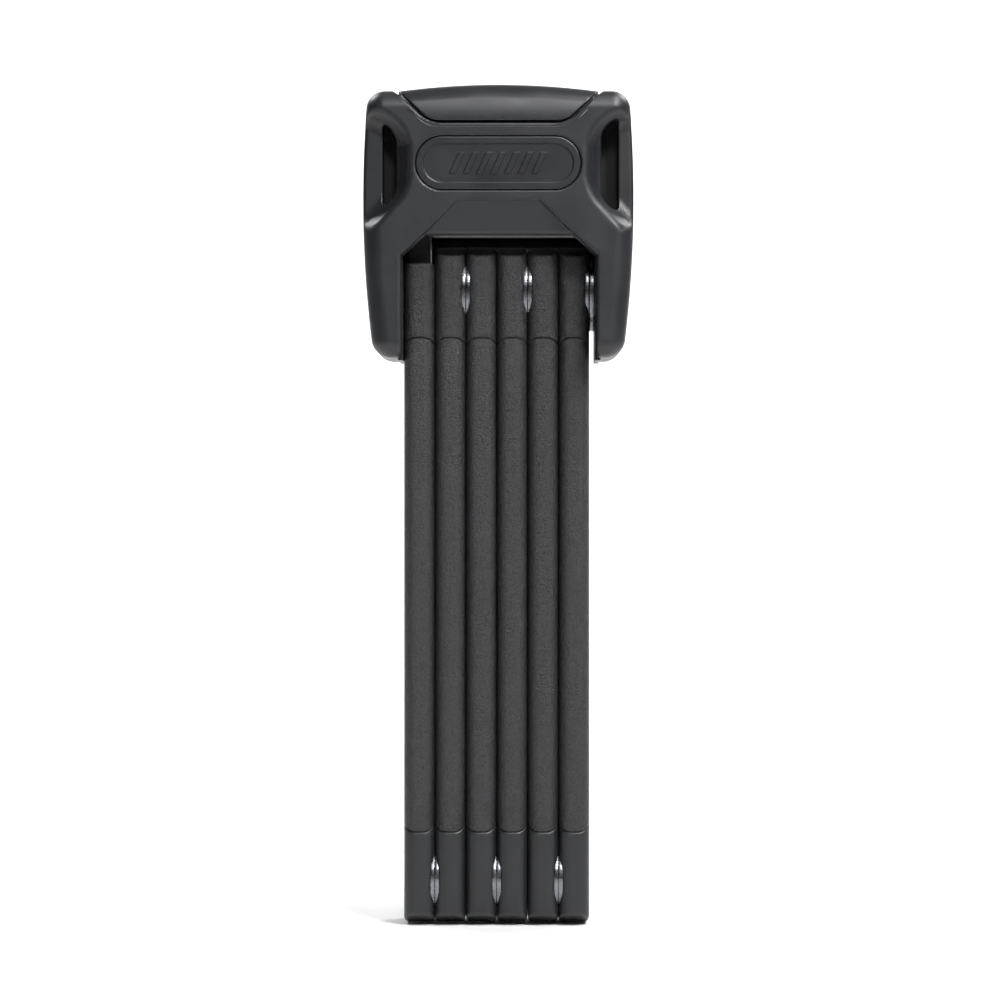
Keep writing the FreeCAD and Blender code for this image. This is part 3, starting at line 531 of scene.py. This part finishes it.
def panel_rule(x, z, deep, grow, sizes):
    """Sloping recess above the arch; deep is how far a point lies behind the face."""
    low = SHELL_LOW[2] - 20
    corner = PIVOT_HIGH + sizes.corner_rise
    top = PIVOT_HIGH + sizes.panel_rise
    foot = PIVOT_HIGH + sizes.arch_rise
    half = sizes.panel_half_width
    points = [(LEFT_WALL, low), (LEFT_WALL, corner), (-half, top), (half, top), (RIGHT_WALL, corner),
              (RIGHT_WALL, low)]
    run, fall = sizes.panel_depth - sizes.panel_step, top - foot
    slope = (deep - sizes.panel_step - (top - z) * run / fall) / math.hypot(1, run / fall)
    return both(polygon(x, z, points) - grow, np.maximum(slope, deep - sizes.panel_depth) - grow)


def scoop_outline(x, z, sizes):
    """Grip scoop seen from the front, its open side at the flank."""
    middle = PIVOT_HIGH + sizes.scoop_rise
    up = arc_points((22.0, middle + 5.9), (25.2, middle + 11.7), (31.5, middle + 14.8), 10)
    down = arc_points((25.0, middle - 8.9), (22.9, middle - 5.6), (22.0, middle - 2.1), 6)
    outside = SHELL_HIGH[0] + 6
    points = [(outside, middle + 15.6)] + up[::-1] + down[::-1] + [
        (30.8, middle - 15.1), (outside, middle - 19.4)]
    return polygon(np.abs(x), z, points)


def scoop_rule(x, z, deep, grow, sizes):
    wall = (scoop_outline(x, z, sizes) + sizes.scoop_slope * deep) / math.hypot(1, sizes.scoop_slope)
    return both(wall - grow, deep - sizes.scoop_depth - grow, 1.6)


def slot_outline(across, rise, sizes, slot):
    inner, outer, half = slot
    tip, bend = sizes.slot_tip, sizes.slot_bend
    corner = arc_points((outer, half - tip), (outer - 0.3 * tip, half - 0.3 * tip), (outer - tip, half), 4)
    bulge = arc_points((outer - tip, half), (inner + 0.25 * (outer - inner), half - 0.4 * bend),
                       (inner, half - bend), 8)
    upper = corner + bulge[1:]
    return polygon(across, rise, upper + [(u, -v) for u, v in reversed(upper)])


def slot_rule(x, z, deep, grow, sizes):
    """Upright D-shaped slots for a bracket's latch, the right one a little larger."""
    rise = z - PIVOT_HIGH - sizes.slot_rise
    outline = np.minimum(slot_outline(-x, rise, sizes, sizes.left_slot),
                         slot_outline(x, rise, sizes, sizes.right_slot))
    return np.maximum(outline - grow, deep - sizes.scoop_depth - sizes.slot_depth - grow)


def cap_outline(x, z, grow, sizes):
    """Top cap seen from the front: a shallow trapezoid under an arched crown."""
    top = SHELL_HIGH[2]
    crown = CAP_HIGH[2]
    wide, low = CAP_HIGH[0], CAP_LOW[2]
    run, rise = wide - sizes.cap_lower, top - low
    side = ((np.abs(x) - sizes.cap_lower) * rise - (z - low) * run) / math.hypot(run, rise)
    (cx, cz), radius = circle_through((-wide, top), (0, crown), (wide, top))
    tray = both(side, low - z, sizes.cap_toe)
    return np.maximum(tray, np.hypot(x - cx, z - cz) - radius) - grow


def cap_lean(z, sizes):
    """How far the cap's front and back lie behind their foot at a height."""
    return sizes.cap_bulge * np.maximum(z - CAP_LOW[2], 0) ** 2


def cap_blank(x, y, z, grow, sizes):
    lean = cap_lean(z, sizes)
    top = np.hypot(x, z - CAP_HIGH[2] + sizes.crown_radius) - sizes.crown_radius
    roll = both(np.abs(y) - (-CAP_LOW[1]) + lean, top, 4.0) - grow
    return both(cap_outline(x, z, grow, sizes), roll, 0.3 if grow <= 0 else 0.0)


def screw_wells(x, y, z):
    """Wells of the four cover screws in the rear half, and their bores."""
    low, high = node_box("cover_screws")
    leg_x = (high[0] - low[0]) / 2 - SCREW_HEAD
    wells = []
    for px, pz, floor in ((leg_x, low[2] + SCREW_HEAD, LEG_SCREW_FLOOR),
                          (TOP_SCREW[0], high[2] - SCREW_HEAD, TOP_SCREW_FLOOR)):
        across = np.hypot(np.abs(x) - px, z - pz)
        head = np.maximum(across - BOSS, floor - y)
        wells.append(np.minimum(head, across - SCREW_HOLE))
    return np.minimum(*wells)


def shell_rule(sizes, side):
    """Front (side -1) or rear (side 1) half of the shell."""
    crisp = sizes.crisp_round
    tab_face = HALF_DEPTH - CAP_WALL - sizes.cap_gap
    roof = SHELL_HIGH[2] - CAP_WALL - sizes.cap_gap
    groove_face = HALF_DEPTH - sizes.groove_depth
    groove_roof = SHELL_HIGH[2] - sizes.groove_depth

    def rule(x, y, z):
        out = side * y
        deep = HALF_DEPTH - out
        leg_axis = np.hypot(np.abs(x) - LEG_SCREW[0], z - LEG_SCREW[1])
        top_axis = np.hypot(np.abs(x) - TOP_SCREW[0], z - TOP_SCREW[1])
        panel = panel_rule(x, z, deep, 0.0, sizes)
        scoop = scoop_rule(x, z, deep, 0.0, sizes)
        slot = slot_rule(x, z, deep, 0.0, sizes)
        skin = shell_blank(x, y, z, 0.0, sizes)

        void = skin + sizes.wall
        for cut, wall in ((panel, sizes.wall), (scoop, SCOOP_WALL), (slot, SLOT_WALL)):
            void = np.maximum(void, wall - cut)
        void = np.maximum(void, BOSS - leg_axis)
        void = np.maximum(void, np.minimum(BOSS - top_axis, out - CASE_HALF_DEPTH))

        shape = less(skin, panel, crisp)
        shape = less(shape, scoop, 0.9)
        shape = less(shape, slot, crisp)
        if side < 0:
            arch = arch_outline(x, z, sizes.arch_rise, sizes)
        else:
            arch = arch_outline(x, z, sizes.rear_arch_rise, sizes)
            guard = np.maximum(np.maximum(x - GUARD_RIGHT, PIVOT_HIGH + sizes.guard_rise - z),
                               deep - sizes.panel_depth - sizes.wall)
            arch = np.maximum(arch, -guard)
        shape = less(shape, arch, sizes.arch_round)
        outline = cap_outline(x, z, 0.0, sizes)
        past = np.maximum(out - groove_face, z - groove_roof)
        shape = less(shape, np.maximum(outline - sizes.groove_width, -past), 0.18)
        past = np.maximum(out - tab_face + cap_lean(z, sizes), z - roof)
        seat = np.maximum(cap_blank(x, y, z, sizes.cap_gap, sizes), -past)
        shape = np.maximum(shape, -seat)
        shape = np.maximum(shape, -void)
        shape = np.maximum(shape, -np.maximum(np.hypot(x, y) - HOUSING_RADIUS, CASE_TOP - 1 - z))
        liners = np.minimum(np.abs(x - LEFT_WALL + LINER_HALF), np.abs(x - RIGHT_WALL - LINER_HALF))
        liners = np.maximum(np.maximum(liners - LINER_POCKET, np.abs(y) - LINER_REACH),
                            z - PIVOT_HIGH - LINER_RISE)
        shape = np.maximum(shape, -liners)
        if side < 0:
            middle = (BADGE_LOW[2] + BADGE_HIGH[2]) / 2
            half_x, half_z = BADGE_HIGH[0] + FIT, (BADGE_HIGH[2] - BADGE_LOW[2]) / 2 + FIT
            stadium = plate(x, z - middle, half_x, half_z, half_z - 0.01)
            shape = less(shape, np.maximum(stadium, deep - 1.1), 0.45)
            bores = np.maximum(np.minimum(leg_axis, top_axis) - SCREW_THREAD, BORE_COVER - deep)
            shape = np.maximum(shape, -bores)
        else:
            shape = less(shape, screw_wells(x, y, z), 0.2)
        return both(shape, 0.05 - out, 0.25)
    return rule


class LOCK_OT_shell(bpy.types.Operator):
    """Front and rear halves of the moulded body shell"""
    bl_idname = "lock.shell"
    bl_label = "Body shell"

    def execute(self, context):
        sizes, _, _ = settings()
        cell = 0.45
        for name, node, side in (("front_shell", "front_cover", -1), ("rear_shell", "rear_cover", 1)):
            low, high = node_box(node)
            piece = solid_piece(name, shell_rule(sizes, side), low, high, cell)
            stand_for(piece, node, "lock_body", "shell")
        return {"FINISHED"}


BEAD_TURN, BEAD_STEPS, BEAD_SIDES, BEAD_SUNK, BEAD_END = 5.3, 10, 8, 0.2, 5.0


class LOCK_OT_bead(bpy.types.Operator):
    """Fine raised bead that follows the groove round the top cap, front and back"""
    bl_idname = "lock.bead"
    bl_label = "Bead round the top cap"

    def execute(self, context):
        sizes, _, _ = settings()
        low, top = CAP_LOW[2], SHELL_HIGH[2]
        run, rise = CAP_HIGH[0] - sizes.cap_lower, top - low
        gap, turn_radius = sizes.bead_gap, BEAD_TURN + sizes.bead_gap
        shift = gap * math.hypot(run, rise) / rise
        toe_x = sizes.cap_lower + shift - gap * run / rise
        turn = math.atan2(rise, run)
        centre_x = toe_x - turn_radius * math.tan(turn / 2)
        centre_z = low - gap + turn_radius
        half = []
        for i in range(BEAD_STEPS + 1):
            angle = turn * i / BEAD_STEPS
            half.append((centre_x + turn_radius * math.sin(angle), centre_z - turn_radius * math.cos(angle)))
        end_z = top - BEAD_END
        half.append((toe_x + (end_z - low + gap) * run / rise, end_z))
        path = [(-x, z) for x, z in reversed(half)] + half
        points, faces = [], []
        for side in (-1, 1):
            first = len(points)
            for i, (x, z) in enumerate(path):
                ax, az = path[max(i - 1, 0)]
                bx, bz = path[min(i + 1, len(path) - 1)]
                length = math.hypot(bx - ax, bz - az)
                nx, nz = -(bz - az) / length, (bx - ax) / length
                for j in range(BEAD_SIDES):
                    angle = 2 * math.pi * j / BEAD_SIDES
                    across = sizes.bead_half_width * math.cos(angle)
                    out = HALF_DEPTH - BEAD_SUNK + sizes.bead_half_width * math.sin(angle)
                    points.append((x + nx * across, side * out, z + nz * across))
            strand = []
            for i in range(len(path) - 1):
                for j in range(BEAD_SIDES):
                    a = first + i * BEAD_SIDES + j
                    b = first + i * BEAD_SIDES + (j + 1) % BEAD_SIDES
                    strand.append((a, b, b + BEAD_SIDES, a + BEAD_SIDES))
            ends = list(range(first, first + BEAD_SIDES)), list(range(len(points) - BEAD_SIDES, len(points)))
            strand += [ends[0][::-1], ends[1]]
            faces += strand if side > 0 else [face[::-1] for face in strand]
        piece = mesh_piece("cap_bead", points, faces)
        wear(piece, "shell")
        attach(piece, "lock_body")
        return {"FINISHED"}


# ---- top cap, shutter and badge
class LOCK_OT_top_cap(bpy.types.Operator):
    """Arched cap over the body's top, with the keyhole's sliding shutter"""
    bl_idname = "lock.top_cap"
    bl_label = "Top cap and shutter"

    def execute(self, context):
        sizes, _, _ = settings()
        floor = SHUTTER_LOW[2] - 0.1
        half_x, half_y = SHUTTER_HIGH[0], SHUTTER_HIGH[1]
        travel = frame_range("shutter_slide")

        def cap(x, y, z):
            core = np.maximum(np.abs(y) - (HALF_DEPTH - CAP_WALL) + cap_lean(z, sizes),
                              z - (SHELL_HIGH[2] - CAP_WALL))
            channel = plate(x - travel / 2, y, half_x + travel / 2 + FIT, half_y + FIT, SHUTTER_CORNER + FIT)
            channel = np.maximum(channel, floor - z)
            shape = less(cap_blank(x, y, z, 0.0, sizes), core, 0.2)
            shape = less(shape, channel, 0.25)
            return np.maximum(shape, PLUG_HOLE - np.hypot(x, y))

        def shutter(x, y, z):
            (cx, cz), radius = circle_through((-CAP_HIGH[0], SHELL_HIGH[2]), (0, CAP_HIGH[2]),
                                              (CAP_HIGH[0], SHELL_HIGH[2]))
            top = np.hypot(x - cx, z - cz) - radius + 0.2
            shape = both(plate(x, y, half_x, half_y, SHUTTER_CORNER),
                         np.maximum(top, SHUTTER_LOW[2] - z), 0.3)
            ridge = np.minimum(np.minimum(np.abs(x - 2.4), np.abs(x)), np.abs(x + 2.4)) - 0.45
            ridge = np.maximum(np.maximum(ridge, np.abs(y) - 4.5), CAP_HIGH[2] - 0.75 - z)
            return less(shape, ridge, 0.15)

        piece = solid_piece("crown_cap", cap, CAP_LOW, CAP_HIGH, 0.35)
        stand_for(piece, "top_cap", "lock_body", "cap")
        piece = solid_piece("shutter_plate", shutter, SHUTTER_LOW, SHUTTER_HIGH, 0.2)
        stand_for(piece, "keyhole_shutter", "shutter", "cap")
        return {"FINISHED"}


def frame_range(name):
    """Travel of a slide, in millimetres."""
    joint = next(joint for joint in frame["joints"] if joint["name"] == name)
    return (joint["range_m"][1] - joint["range_m"][0]) / MM


class LOCK_OT_badge(bpy.types.Operator):
    """Oval plate on the front, with a raised rim and plain raised ribs"""
    bl_idname = "lock.badge"
    bl_label = "Badge plate"

    def execute(self, context):
        middle = node_middle("badge_plate")
        half_x = (BADGE_HIGH[0] - BADGE_LOW[0]) / 2
        half_z = (BADGE_HIGH[2] - BADGE_LOW[2]) / 2

        def rule(x, y, z):
            u, v = x - middle[0], z - middle[2]
            shape = both(plate(u, v, half_x, half_z, half_z - 0.01),
                         slab(y, BADGE_LOW[1], BADGE_HIGH[1]), 0.25)
            field = np.maximum(plate(u, v, half_x - 1.75, half_z - 1.75, half_z - 1.76),
                               y - BADGE_LOW[1] - 0.4)
            shape = less(shape, field, 0.2)
            lean = u - 0.45 * v
            ribs = np.abs((lean + 1.7) % 3.4 - 1.7) - 0.75
            ribs = np.maximum(np.maximum(ribs, np.abs(lean) - 12.7), np.abs(v) - 2.6)
            ribs = both(ribs, BADGE_LOW[1] + 0.05 - y, 0.12)
            return np.minimum(shape, np.maximum(ribs, y - BADGE_LOW[1] - 0.6))

        piece = solid_piece("badge", rule, BADGE_LOW, BADGE_HIGH, 0.17)
        stand_for(piece, "badge_plate", "lock_body", "cap")
        return {"FINISHED"}


# ---- bars
def bar_middle(number):
    return node_middle(f"link_{number}_sleeve")[0]


def coat_rule(number, sizes):
    """A bar's coat before its seams and pockets are cut."""
    low, high = node_box(f"link_{number}_sleeve")
    end_low, _ = node_box(f"link_{number}_lower_cap")
    middle = (low[0] + high[0]) / 2
    half_x, half_y = (high[0] - low[0]) / 2, high[1]
    overhang = PIVOT_LOW - end_low[2]
    (_, centre), end_radius = circle_through((-half_y, -sizes.end_shoulder), (0, -overhang),
                                             (half_y, -sizes.end_shoulder))

    def rule(x, y, z):
        near_end = np.maximum(PIVOT_LOW - overhang + sizes.end_taper_length - z, 0)
        draw = sizes.end_taper * np.minimum(near_end / sizes.end_taper_length, 1.2) ** 2
        section = plate(x - middle, y, half_x, half_y, sizes.edge_round) + draw
        lower = np.where(z < PIVOT_LOW, np.hypot(y, z - PIVOT_LOW - centre) - end_radius, -50.0)
        if number < BAR_COUNT:
            upper = np.where(z > PIVOT_HIGH, np.hypot(y, z - PIVOT_HIGH + centre) - end_radius, -50.0)
        else:
            upper = z - COLLAR_TOP
        shape = both(section, np.maximum(lower, upper), sizes.end_round)
        core = np.hypot(y, np.maximum(np.maximum(PIVOT_LOW - z, z - PIVOT_HIGH), 0)) - CORE_RADIUS
        if number == BAR_COUNT:
            core = np.minimum(core, np.maximum(np.abs(y) - TONGUE_HALF_WIDTH, PIVOT_HIGH - z))
        core = np.maximum(core, np.abs(x - middle) - (CORE_HIGH[0] - CORE_LOW[0]) / 2)
        return shape, core
    return rule


def washer_sides(number):
    """(side, pivot height) of each washer on a bar, right side first."""
    low_high = (PIVOT_HIGH, PIVOT_LOW) if number % 2 else (PIVOT_LOW, PIVOT_HIGH)
    sides = [(1, low_high[0])]
    if number < BAR_COUNT:
        sides.append((-1, low_high[1]))
    return sides


def end_cap_rule(number, pivot, sizes):
    coat = coat_rule(number, sizes)
    middle = bar_middle(number)
    half_core = (CORE_HIGH[0] - CORE_LOW[0]) / 2
    _, washer_high = node_box(f"link_{number}_washers")
    pocket_radius = washer_high[1] + 0.1

    def rule(x, y, z):
        shape, core = coat(x, y, z)
        reach = np.hypot(y, z - pivot) - (sizes.cap_reach - sizes.seam_gap / 2)
        shape = both(shape, reach, sizes.seam_round)
        for side, height in washer_sides(number):
            if height == pivot:
                pocket = np.maximum(np.hypot(y, z - pivot) - pocket_radius, half_core - side * (x - middle))
                shape = less(shape, pocket, 0.12)
        return np.maximum(shape, -core)
    return rule


class LOCK_OT_end_caps(bpy.types.Operator):
    """Caps moulded over both ends of each bar: smooth hard ones at the lower ends, grained like the sleeves
    at the upper ends
    """
    bl_idname = "lock.end_caps"
    bl_label = "End caps"

    def execute(self, context):
        _, sizes, _ = settings()
        cell = 0.3
        for number in range(1, BAR_COUNT + 1):
            for level, pivot in (("lower", PIVOT_LOW), ("upper", PIVOT_HIGH)):
                node = f"link_{number}_{level}_cap"
                low, high = node_box(node)
                rule = end_cap_rule(number, pivot, sizes)
                piece = solid_piece(f"bar_{number}_{level}_end", rule, low, high, cell)
                key = "end_cap" if level == "lower" else "sleeve"
                stand_for(piece, node, f"link_{number}", key)
        return {"FINISHED"}


def rounded_section(half_x, half_y, radius, per_corner):
    """Points round a rectangle with round corners, anticlockwise from above, denser on the corners."""
    points = []
    for cx, cy, start in ((1, 1, 0), (-1, 1, 90), (-1, -1, 180), (1, -1, 270)):
        for i in range(per_corner + 1):
            angle = math.radians(start + 90 * i / per_corner)
            points.append((cx * (half_x - radius) + radius * math.cos(angle),
                           cy * (half_y - radius) + radius * math.sin(angle)))
        if cx * cy > 0:
            points.append((0.0, cy * half_y))
        else:
            points.append((cx * half_x, 0.0))
    return points


CORNER_STEPS, EDGE_STEPS, SHANK_STEPS, CORE_CORNER = 10, 4, 12, 0.05


class LOCK_OT_sleeves(bpy.types.Operator):
    """Grained sleeves over the middle of each bar"""
    bl_idname = "lock.sleeves"
    bl_label = "Sleeves"

    def execute(self, context):
        _, sizes, _ = settings()
        reach = sizes.cap_reach + sizes.seam_gap / 2
        half_core = (CORE_HIGH[0] - CORE_LOW[0]) / 2
        for number in range(1, BAR_COUNT + 1):
            node = f"link_{number}_sleeve"
            low, high = node_box(node)
            middle = (low[0] + high[0]) / 2
            half_x, half_y = (high[0] - low[0]) / 2, high[1]
            outer = rounded_section(half_x, half_y, sizes.edge_round, CORNER_STEPS)
            inner = rounded_section(half_core, CORE_RADIUS, CORE_CORNER, CORNER_STEPS)

            def ring(section, inset, lift, top):
                points = []
                for u, v in section:
                    u *= 1 - inset / half_x
                    v *= 1 - inset / half_y
                    rise = math.sqrt(reach ** 2 - v * v) + lift
                    points.append((middle + u, v, PIVOT_HIGH - rise if top else PIVOT_LOW + rise))
                return points

            def rounded_edge(top):
                turns = [math.radians(90 * i / EDGE_STEPS) for i in range(EDGE_STEPS + 1)]
                return [ring(outer, sizes.seam_round * (1 - math.cos(turn)),
                             sizes.seam_round * (1 - math.sin(turn)), top) for turn in turns]

            lower, upper = rounded_edge(False), rounded_edge(True)
            shank = []
            for i in range(1, SHANK_STEPS):
                shank.append([(x, y, z + (end[2] - z) * (i / SHANK_STEPS))
                              for (x, y, z), end in zip(lower[0], upper[0])])
            loop = [ring(inner, 0, 0, False)] + lower[::-1] + shank + upper + [ring(inner, 0, 0, True)]
            piece = loft_piece(f"bar_{number}_sleeve", loop)
            stand_for(piece, node, f"link_{number}", "sleeve")
        return {"FINISHED"}


# ---- washers
def washer_tree(material):
    """Geometry Nodes: a turned ring with rounded edges, on edge across X, at each point."""
    tree = bpy.data.node_groups.new("washers", "GeometryNodeTree")
    face = tree.interface
    face.new_socket("Geometry", in_out="OUTPUT", socket_type="NodeSocketGeometry")
    face.new_socket("Geometry", in_out="INPUT", socket_type="NodeSocketGeometry")
    names = {}
    for label in ("Outer radius", "Bore radius", "Thickness", "Edge radius"):
        names[label] = face.new_socket(label, in_out="INPUT", socket_type="NodeSocketFloat").identifier
    nodes, links = tree.nodes, tree.links
    given = nodes.new("NodeGroupInput")
    result = nodes.new("NodeGroupOutput")

    def sum_of(a, b, operation, factor=None):
        node = nodes.new("ShaderNodeMath")
        node.operation = operation
        links.new(a, node.inputs[0])
        if factor is None:
            links.new(b, node.inputs[1])
        else:
            node.inputs[1].default_value = factor
        return node.outputs[0]

    total = sum_of(given.outputs["Outer radius"], given.outputs["Bore radius"], "ADD")
    width = sum_of(given.outputs["Outer radius"], given.outputs["Bore radius"], "SUBTRACT")
    path = nodes.new("GeometryNodeCurvePrimitiveCircle")
    path.inputs["Resolution"].default_value = 96
    links.new(sum_of(total, None, "MULTIPLY", 0.5), path.inputs["Radius"])
    section = nodes.new("GeometryNodeCurvePrimitiveQuadrilateral")
    links.new(width, section.inputs["Width"])
    links.new(given.outputs["Thickness"], section.inputs["Height"])
    corners = nodes.new("GeometryNodeFilletCurve")
    corners.mode = "POLY"
    links.new(section.outputs[0], corners.inputs["Curve"])
    links.new(given.outputs["Edge radius"], corners.inputs["Radius"])
    corners.inputs["Count"].default_value = 4
    sweep = nodes.new("GeometryNodeCurveToMesh")
    links.new(path.outputs[0], sweep.inputs["Curve"])
    links.new(corners.outputs[0], sweep.inputs["Profile Curve"])
    sow = nodes.new("GeometryNodeInstanceOnPoints")
    links.new(given.outputs["Geometry"], sow.inputs["Points"])
    links.new(sweep.outputs[0], sow.inputs["Instance"])
    sow.inputs["Rotation"].default_value = (0, math.radians(90), 0)
    smooth = nodes.new("GeometryNodeSetShadeSmooth")
    real = nodes.new("GeometryNodeRealizeInstances")
    paint = nodes.new("GeometryNodeSetMaterial")
    paint.inputs["Material"].default_value = material
    links.new(sow.outputs[0], smooth.inputs["Geometry"])
    links.new(smooth.outputs[0], real.inputs[0])
    links.new(real.outputs[0], paint.inputs["Geometry"])
    links.new(paint.outputs[0], result.inputs[0])
    return tree, names


def grown_mesh(name, points, tree, values):
    """Runs a Geometry Nodes tree on a few points and keeps the plain mesh."""
    cloud = bpy.data.meshes.new(name + "_points")
    cloud.from_pydata([tuple(value * MM for value in point) for point in points], [], [])
    piece = bpy.data.objects.new(name, cloud)
    bpy.context.scene.collection.objects.link(piece)
    modifier = piece.modifiers.new("grow", "NODES")
    modifier.node_group = tree
    for identifier, value in values.items():
        modifier[identifier] = value
    shown = piece.evaluated_get(bpy.context.evaluated_depsgraph_get())
    mesh = bpy.data.meshes.new_from_object(shown)
    piece.modifiers.remove(modifier)
    piece.data = mesh
    bpy.data.meshes.remove(cloud)
    return piece


class LOCK_OT_washers(bpy.types.Operator):
    """Bright steel washers in the pockets between neighbouring bars and beside the hinge ear"""
    bl_idname = "lock.washers"
    bl_label = "Washers"

    def execute(self, context):
        _, sizes, _ = settings()
        tree, names = washer_tree(finish_named("steel"))
        ear_low, ear_high = node_box("body_pivot_washer")
        half_core = (CORE_HIGH[0] - CORE_LOW[0]) / 2
        low, high = node_box("link_6_washers")
        thickness = high[0] - low[0]
        values = {names["Outer radius"]: high[1] * MM, names["Bore radius"]: WASHER_BORE * MM,
                  names["Thickness"]: thickness * MM, names["Edge radius"]: sizes.washer_round * MM}
        for number in range(1, BAR_COUNT + 1):
            middle = bar_middle(number)
            points = [(middle + side * (half_core + thickness / 2), 0, height)
                      for side, height in washer_sides(number)]
            piece = grown_mesh(f"bar_{number}_washers", points, tree, values)
            stand_for(piece, f"link_{number}_washers", f"link_{number}", "steel")
        values[names["Thickness"]] = (ear_high[0] - ear_low[0]) * MM
        piece = grown_mesh("ear_washer", [((ear_low[0] + ear_high[0]) / 2, 0, PIVOT_HIGH)], tree, values)
        stand_for(piece, "body_pivot_washer", "lock_body", "steel")
        return {"FINISHED"}


# ---- pieces that keep their frame shape
class LOCK_OT_metalwork(bpy.types.Operator):
    """Finishes of the steel and brass pieces that keep their frame shape, and of the leg liners"""
    bl_idname = "lock.metalwork"
    bl_label = "Metalwork"

    def execute(self, context):
        finish_of = {
            "lock_case": "coated", "case_plate": "coated",
            "case_plate_screws": "coated", "cover_screws": "coated",
            "left_leg_liner": "end_cap", "right_leg_liner": "end_cap", "anti_drill_plate": "ground",
            "body_pivot_rivet": "ground", "locking_bolt": "ground", "sidebar": "ground",
            "cylinder_housing": "brass", "cylinder_plug": "brass", "detainer_discs": "brass",
        }
        for number in range(1, BAR_COUNT + 1):
            finish_of[f"link_{number}_core"] = "coated"
            if number < BAR_COUNT:
                finish_of[f"link_{number}_{number + 1}_rivet"] = "ground"
        for node, key in finish_of.items():
            wear(NODES[node], key)
        return {"FINISHED"}


# ---- studio
def aim(thing, target):
    thing.rotation_euler = (Vector(target) - thing.location).to_track_quat("-Z", "Y").to_euler()


def soft_light(name, place, target, width, height, power, spread):
    data = bpy.data.lights.new(name, "AREA")
    data.shape = "RECTANGLE"
    data.size, data.size_y, data.energy = width, height, power
    data.spread = math.radians(spread)
    light = bpy.data.objects.new(name, data)
    bpy.context.scene.collection.objects.link(light)
    light.location = place
    aim(light, target)


# Name, place and target in metres, width, height, watts, spread in degrees
LIGHTS = (
    ("key_soft", (0.36, -0.62, 0.70), (0, 0, 0.185), 0.3, 0.2, 1.35, 70),
    ("top_soft", (0.24, -0.16, 0.68), (0, 0, 0.185), 0.3, 0.14, 0.5, 80),
    ("front_soft", (0.1, -1.3, 0.95), (0, 0, 0.08), 0.16, 0.3, 0.3, 50),
    ("floor_left", (-0.9, 0.9, 1.3), (0, 1.5, 0.1), 0.5, 0.5, 26, 180),
    ("floor_right", (0.9, 0.9, 1.3), (0, 1.5, 0.1), 0.5, 0.5, 26, 180),
)
VIEW_TARGET = Vector((0.000375, 0, 0.1062))
VIEW_OFFSET = Vector((0.0031, -1.0145, 0))


class LOCK_OT_stage(bpy.types.Operator):
    """Pale sweep, soft lights and the camera"""
    bl_idname = "lock.stage"
    bl_label = "Stage"

    def execute(self, context):
        scene = context.scene
        sweep = []
        for i in range(13):
            angle = math.radians(90 * i / 12)
            sweep.append((1500 + 500 * math.sin(angle), 500 - 500 * math.cos(angle)))
        rails = [(-2600, 0.0)] + sweep + [(2000, 2200)]
        points = [(x, y, z - 0.3) for x in (-2500, 2500) for y, z in rails]
        count = len(rails)
        faces = [(i, i + count, i + count + 1, i + 1) for i in range(count - 1)]
        floor = mesh_piece("studio_sweep", points, faces)
        material, tree, place = new_finish("pale_studio_paper")
        fibre = add(tree, "ShaderNodeTexNoise", [("Vector", place)], Scale=per_mm(3.0), Detail=2.0)
        bump = add(tree, "ShaderNodeBump", [("Height", fibre.outputs["Fac"])],
                   Strength=0.2, Distance=0.05 * MM)
        shader = add(tree, "ShaderNodeBsdfPrincipled", [("Normal", bump.outputs["Normal"])], Roughness=0.9)
        shader.inputs["Base Color"].default_value = linear("f4f4f4")
        close_finish(tree, shader)
        floor.data.materials.append(material)

        world = bpy.data.worlds.new("studio_air")
        scene.world = world
        world.use_nodes = True
        sky = world.node_tree.nodes["Background"]
        sky.inputs["Color"].default_value = (1, 1, 1, 1)
        sky.inputs["Strength"].default_value = 0.03
        for light in LIGHTS:
            soft_light(*light)

        camera = bpy.data.cameras.new("camera")
        camera.lens = 144.6
        camera.sensor_width = 36
        eye = bpy.data.objects.new("camera", camera)
        scene.collection.objects.link(eye)
        eye.location = VIEW_TARGET + VIEW_OFFSET
        aim(eye, VIEW_TARGET)
        camera.clip_end = 20
        scene.camera = eye
        scene.view_settings.view_transform = "Standard"
        return {"FINISHED"}


class LOCK_PT_panel(bpy.types.Panel):
    """Sidebar panel that lists the pieces' operators"""
    bl_idname = "LOCK_PT_panel"
    bl_label = "Folding lock"
    bl_space_type = "VIEW_3D"
    bl_region_type = "UI"
    bl_category = "Folding lock"

    def draw(self, context):
        for operator in OPERATORS:
            self.layout.operator(operator.bl_idname)
        for group in (context.scene.lock_shell, context.scene.lock_bars, context.scene.lock_finishes):
            for name in group.__annotations__:
                self.layout.prop(group, name)


GROUPS = (ShellSizes, BarSizes, Finishes)
OPERATORS = (LOCK_OT_shell, LOCK_OT_bead, LOCK_OT_top_cap, LOCK_OT_badge, LOCK_OT_end_caps, LOCK_OT_sleeves,
             LOCK_OT_washers, LOCK_OT_metalwork, LOCK_OT_stage)


def register():
    for item in GROUPS + OPERATORS + (LOCK_PT_panel,):
        bpy.utils.register_class(item)
    bpy.types.Scene.lock_shell = bpy.props.PointerProperty(type=ShellSizes)
    bpy.types.Scene.lock_bars = bpy.props.PointerProperty(type=BarSizes)
    bpy.types.Scene.lock_finishes = bpy.props.PointerProperty(type=Finishes)


def unregister():
    for name in ("lock_shell", "lock_bars", "lock_finishes"):
        delattr(bpy.types.Scene, name)
    for item in reversed(GROUPS + OPERATORS + (LOCK_PT_panel,)):
        bpy.utils.unregister_class(item)


def main():
    register()
    bpy.ops.lock.shell()
    bpy.ops.lock.bead()
    bpy.ops.lock.top_cap()
    bpy.ops.lock.badge()
    bpy.ops.lock.end_caps()
    bpy.ops.lock.sleeves()
    bpy.ops.lock.washers()
    bpy.ops.lock.metalwork()
    bpy.ops.lock.stage()


if __name__ == "__main__":
    main()
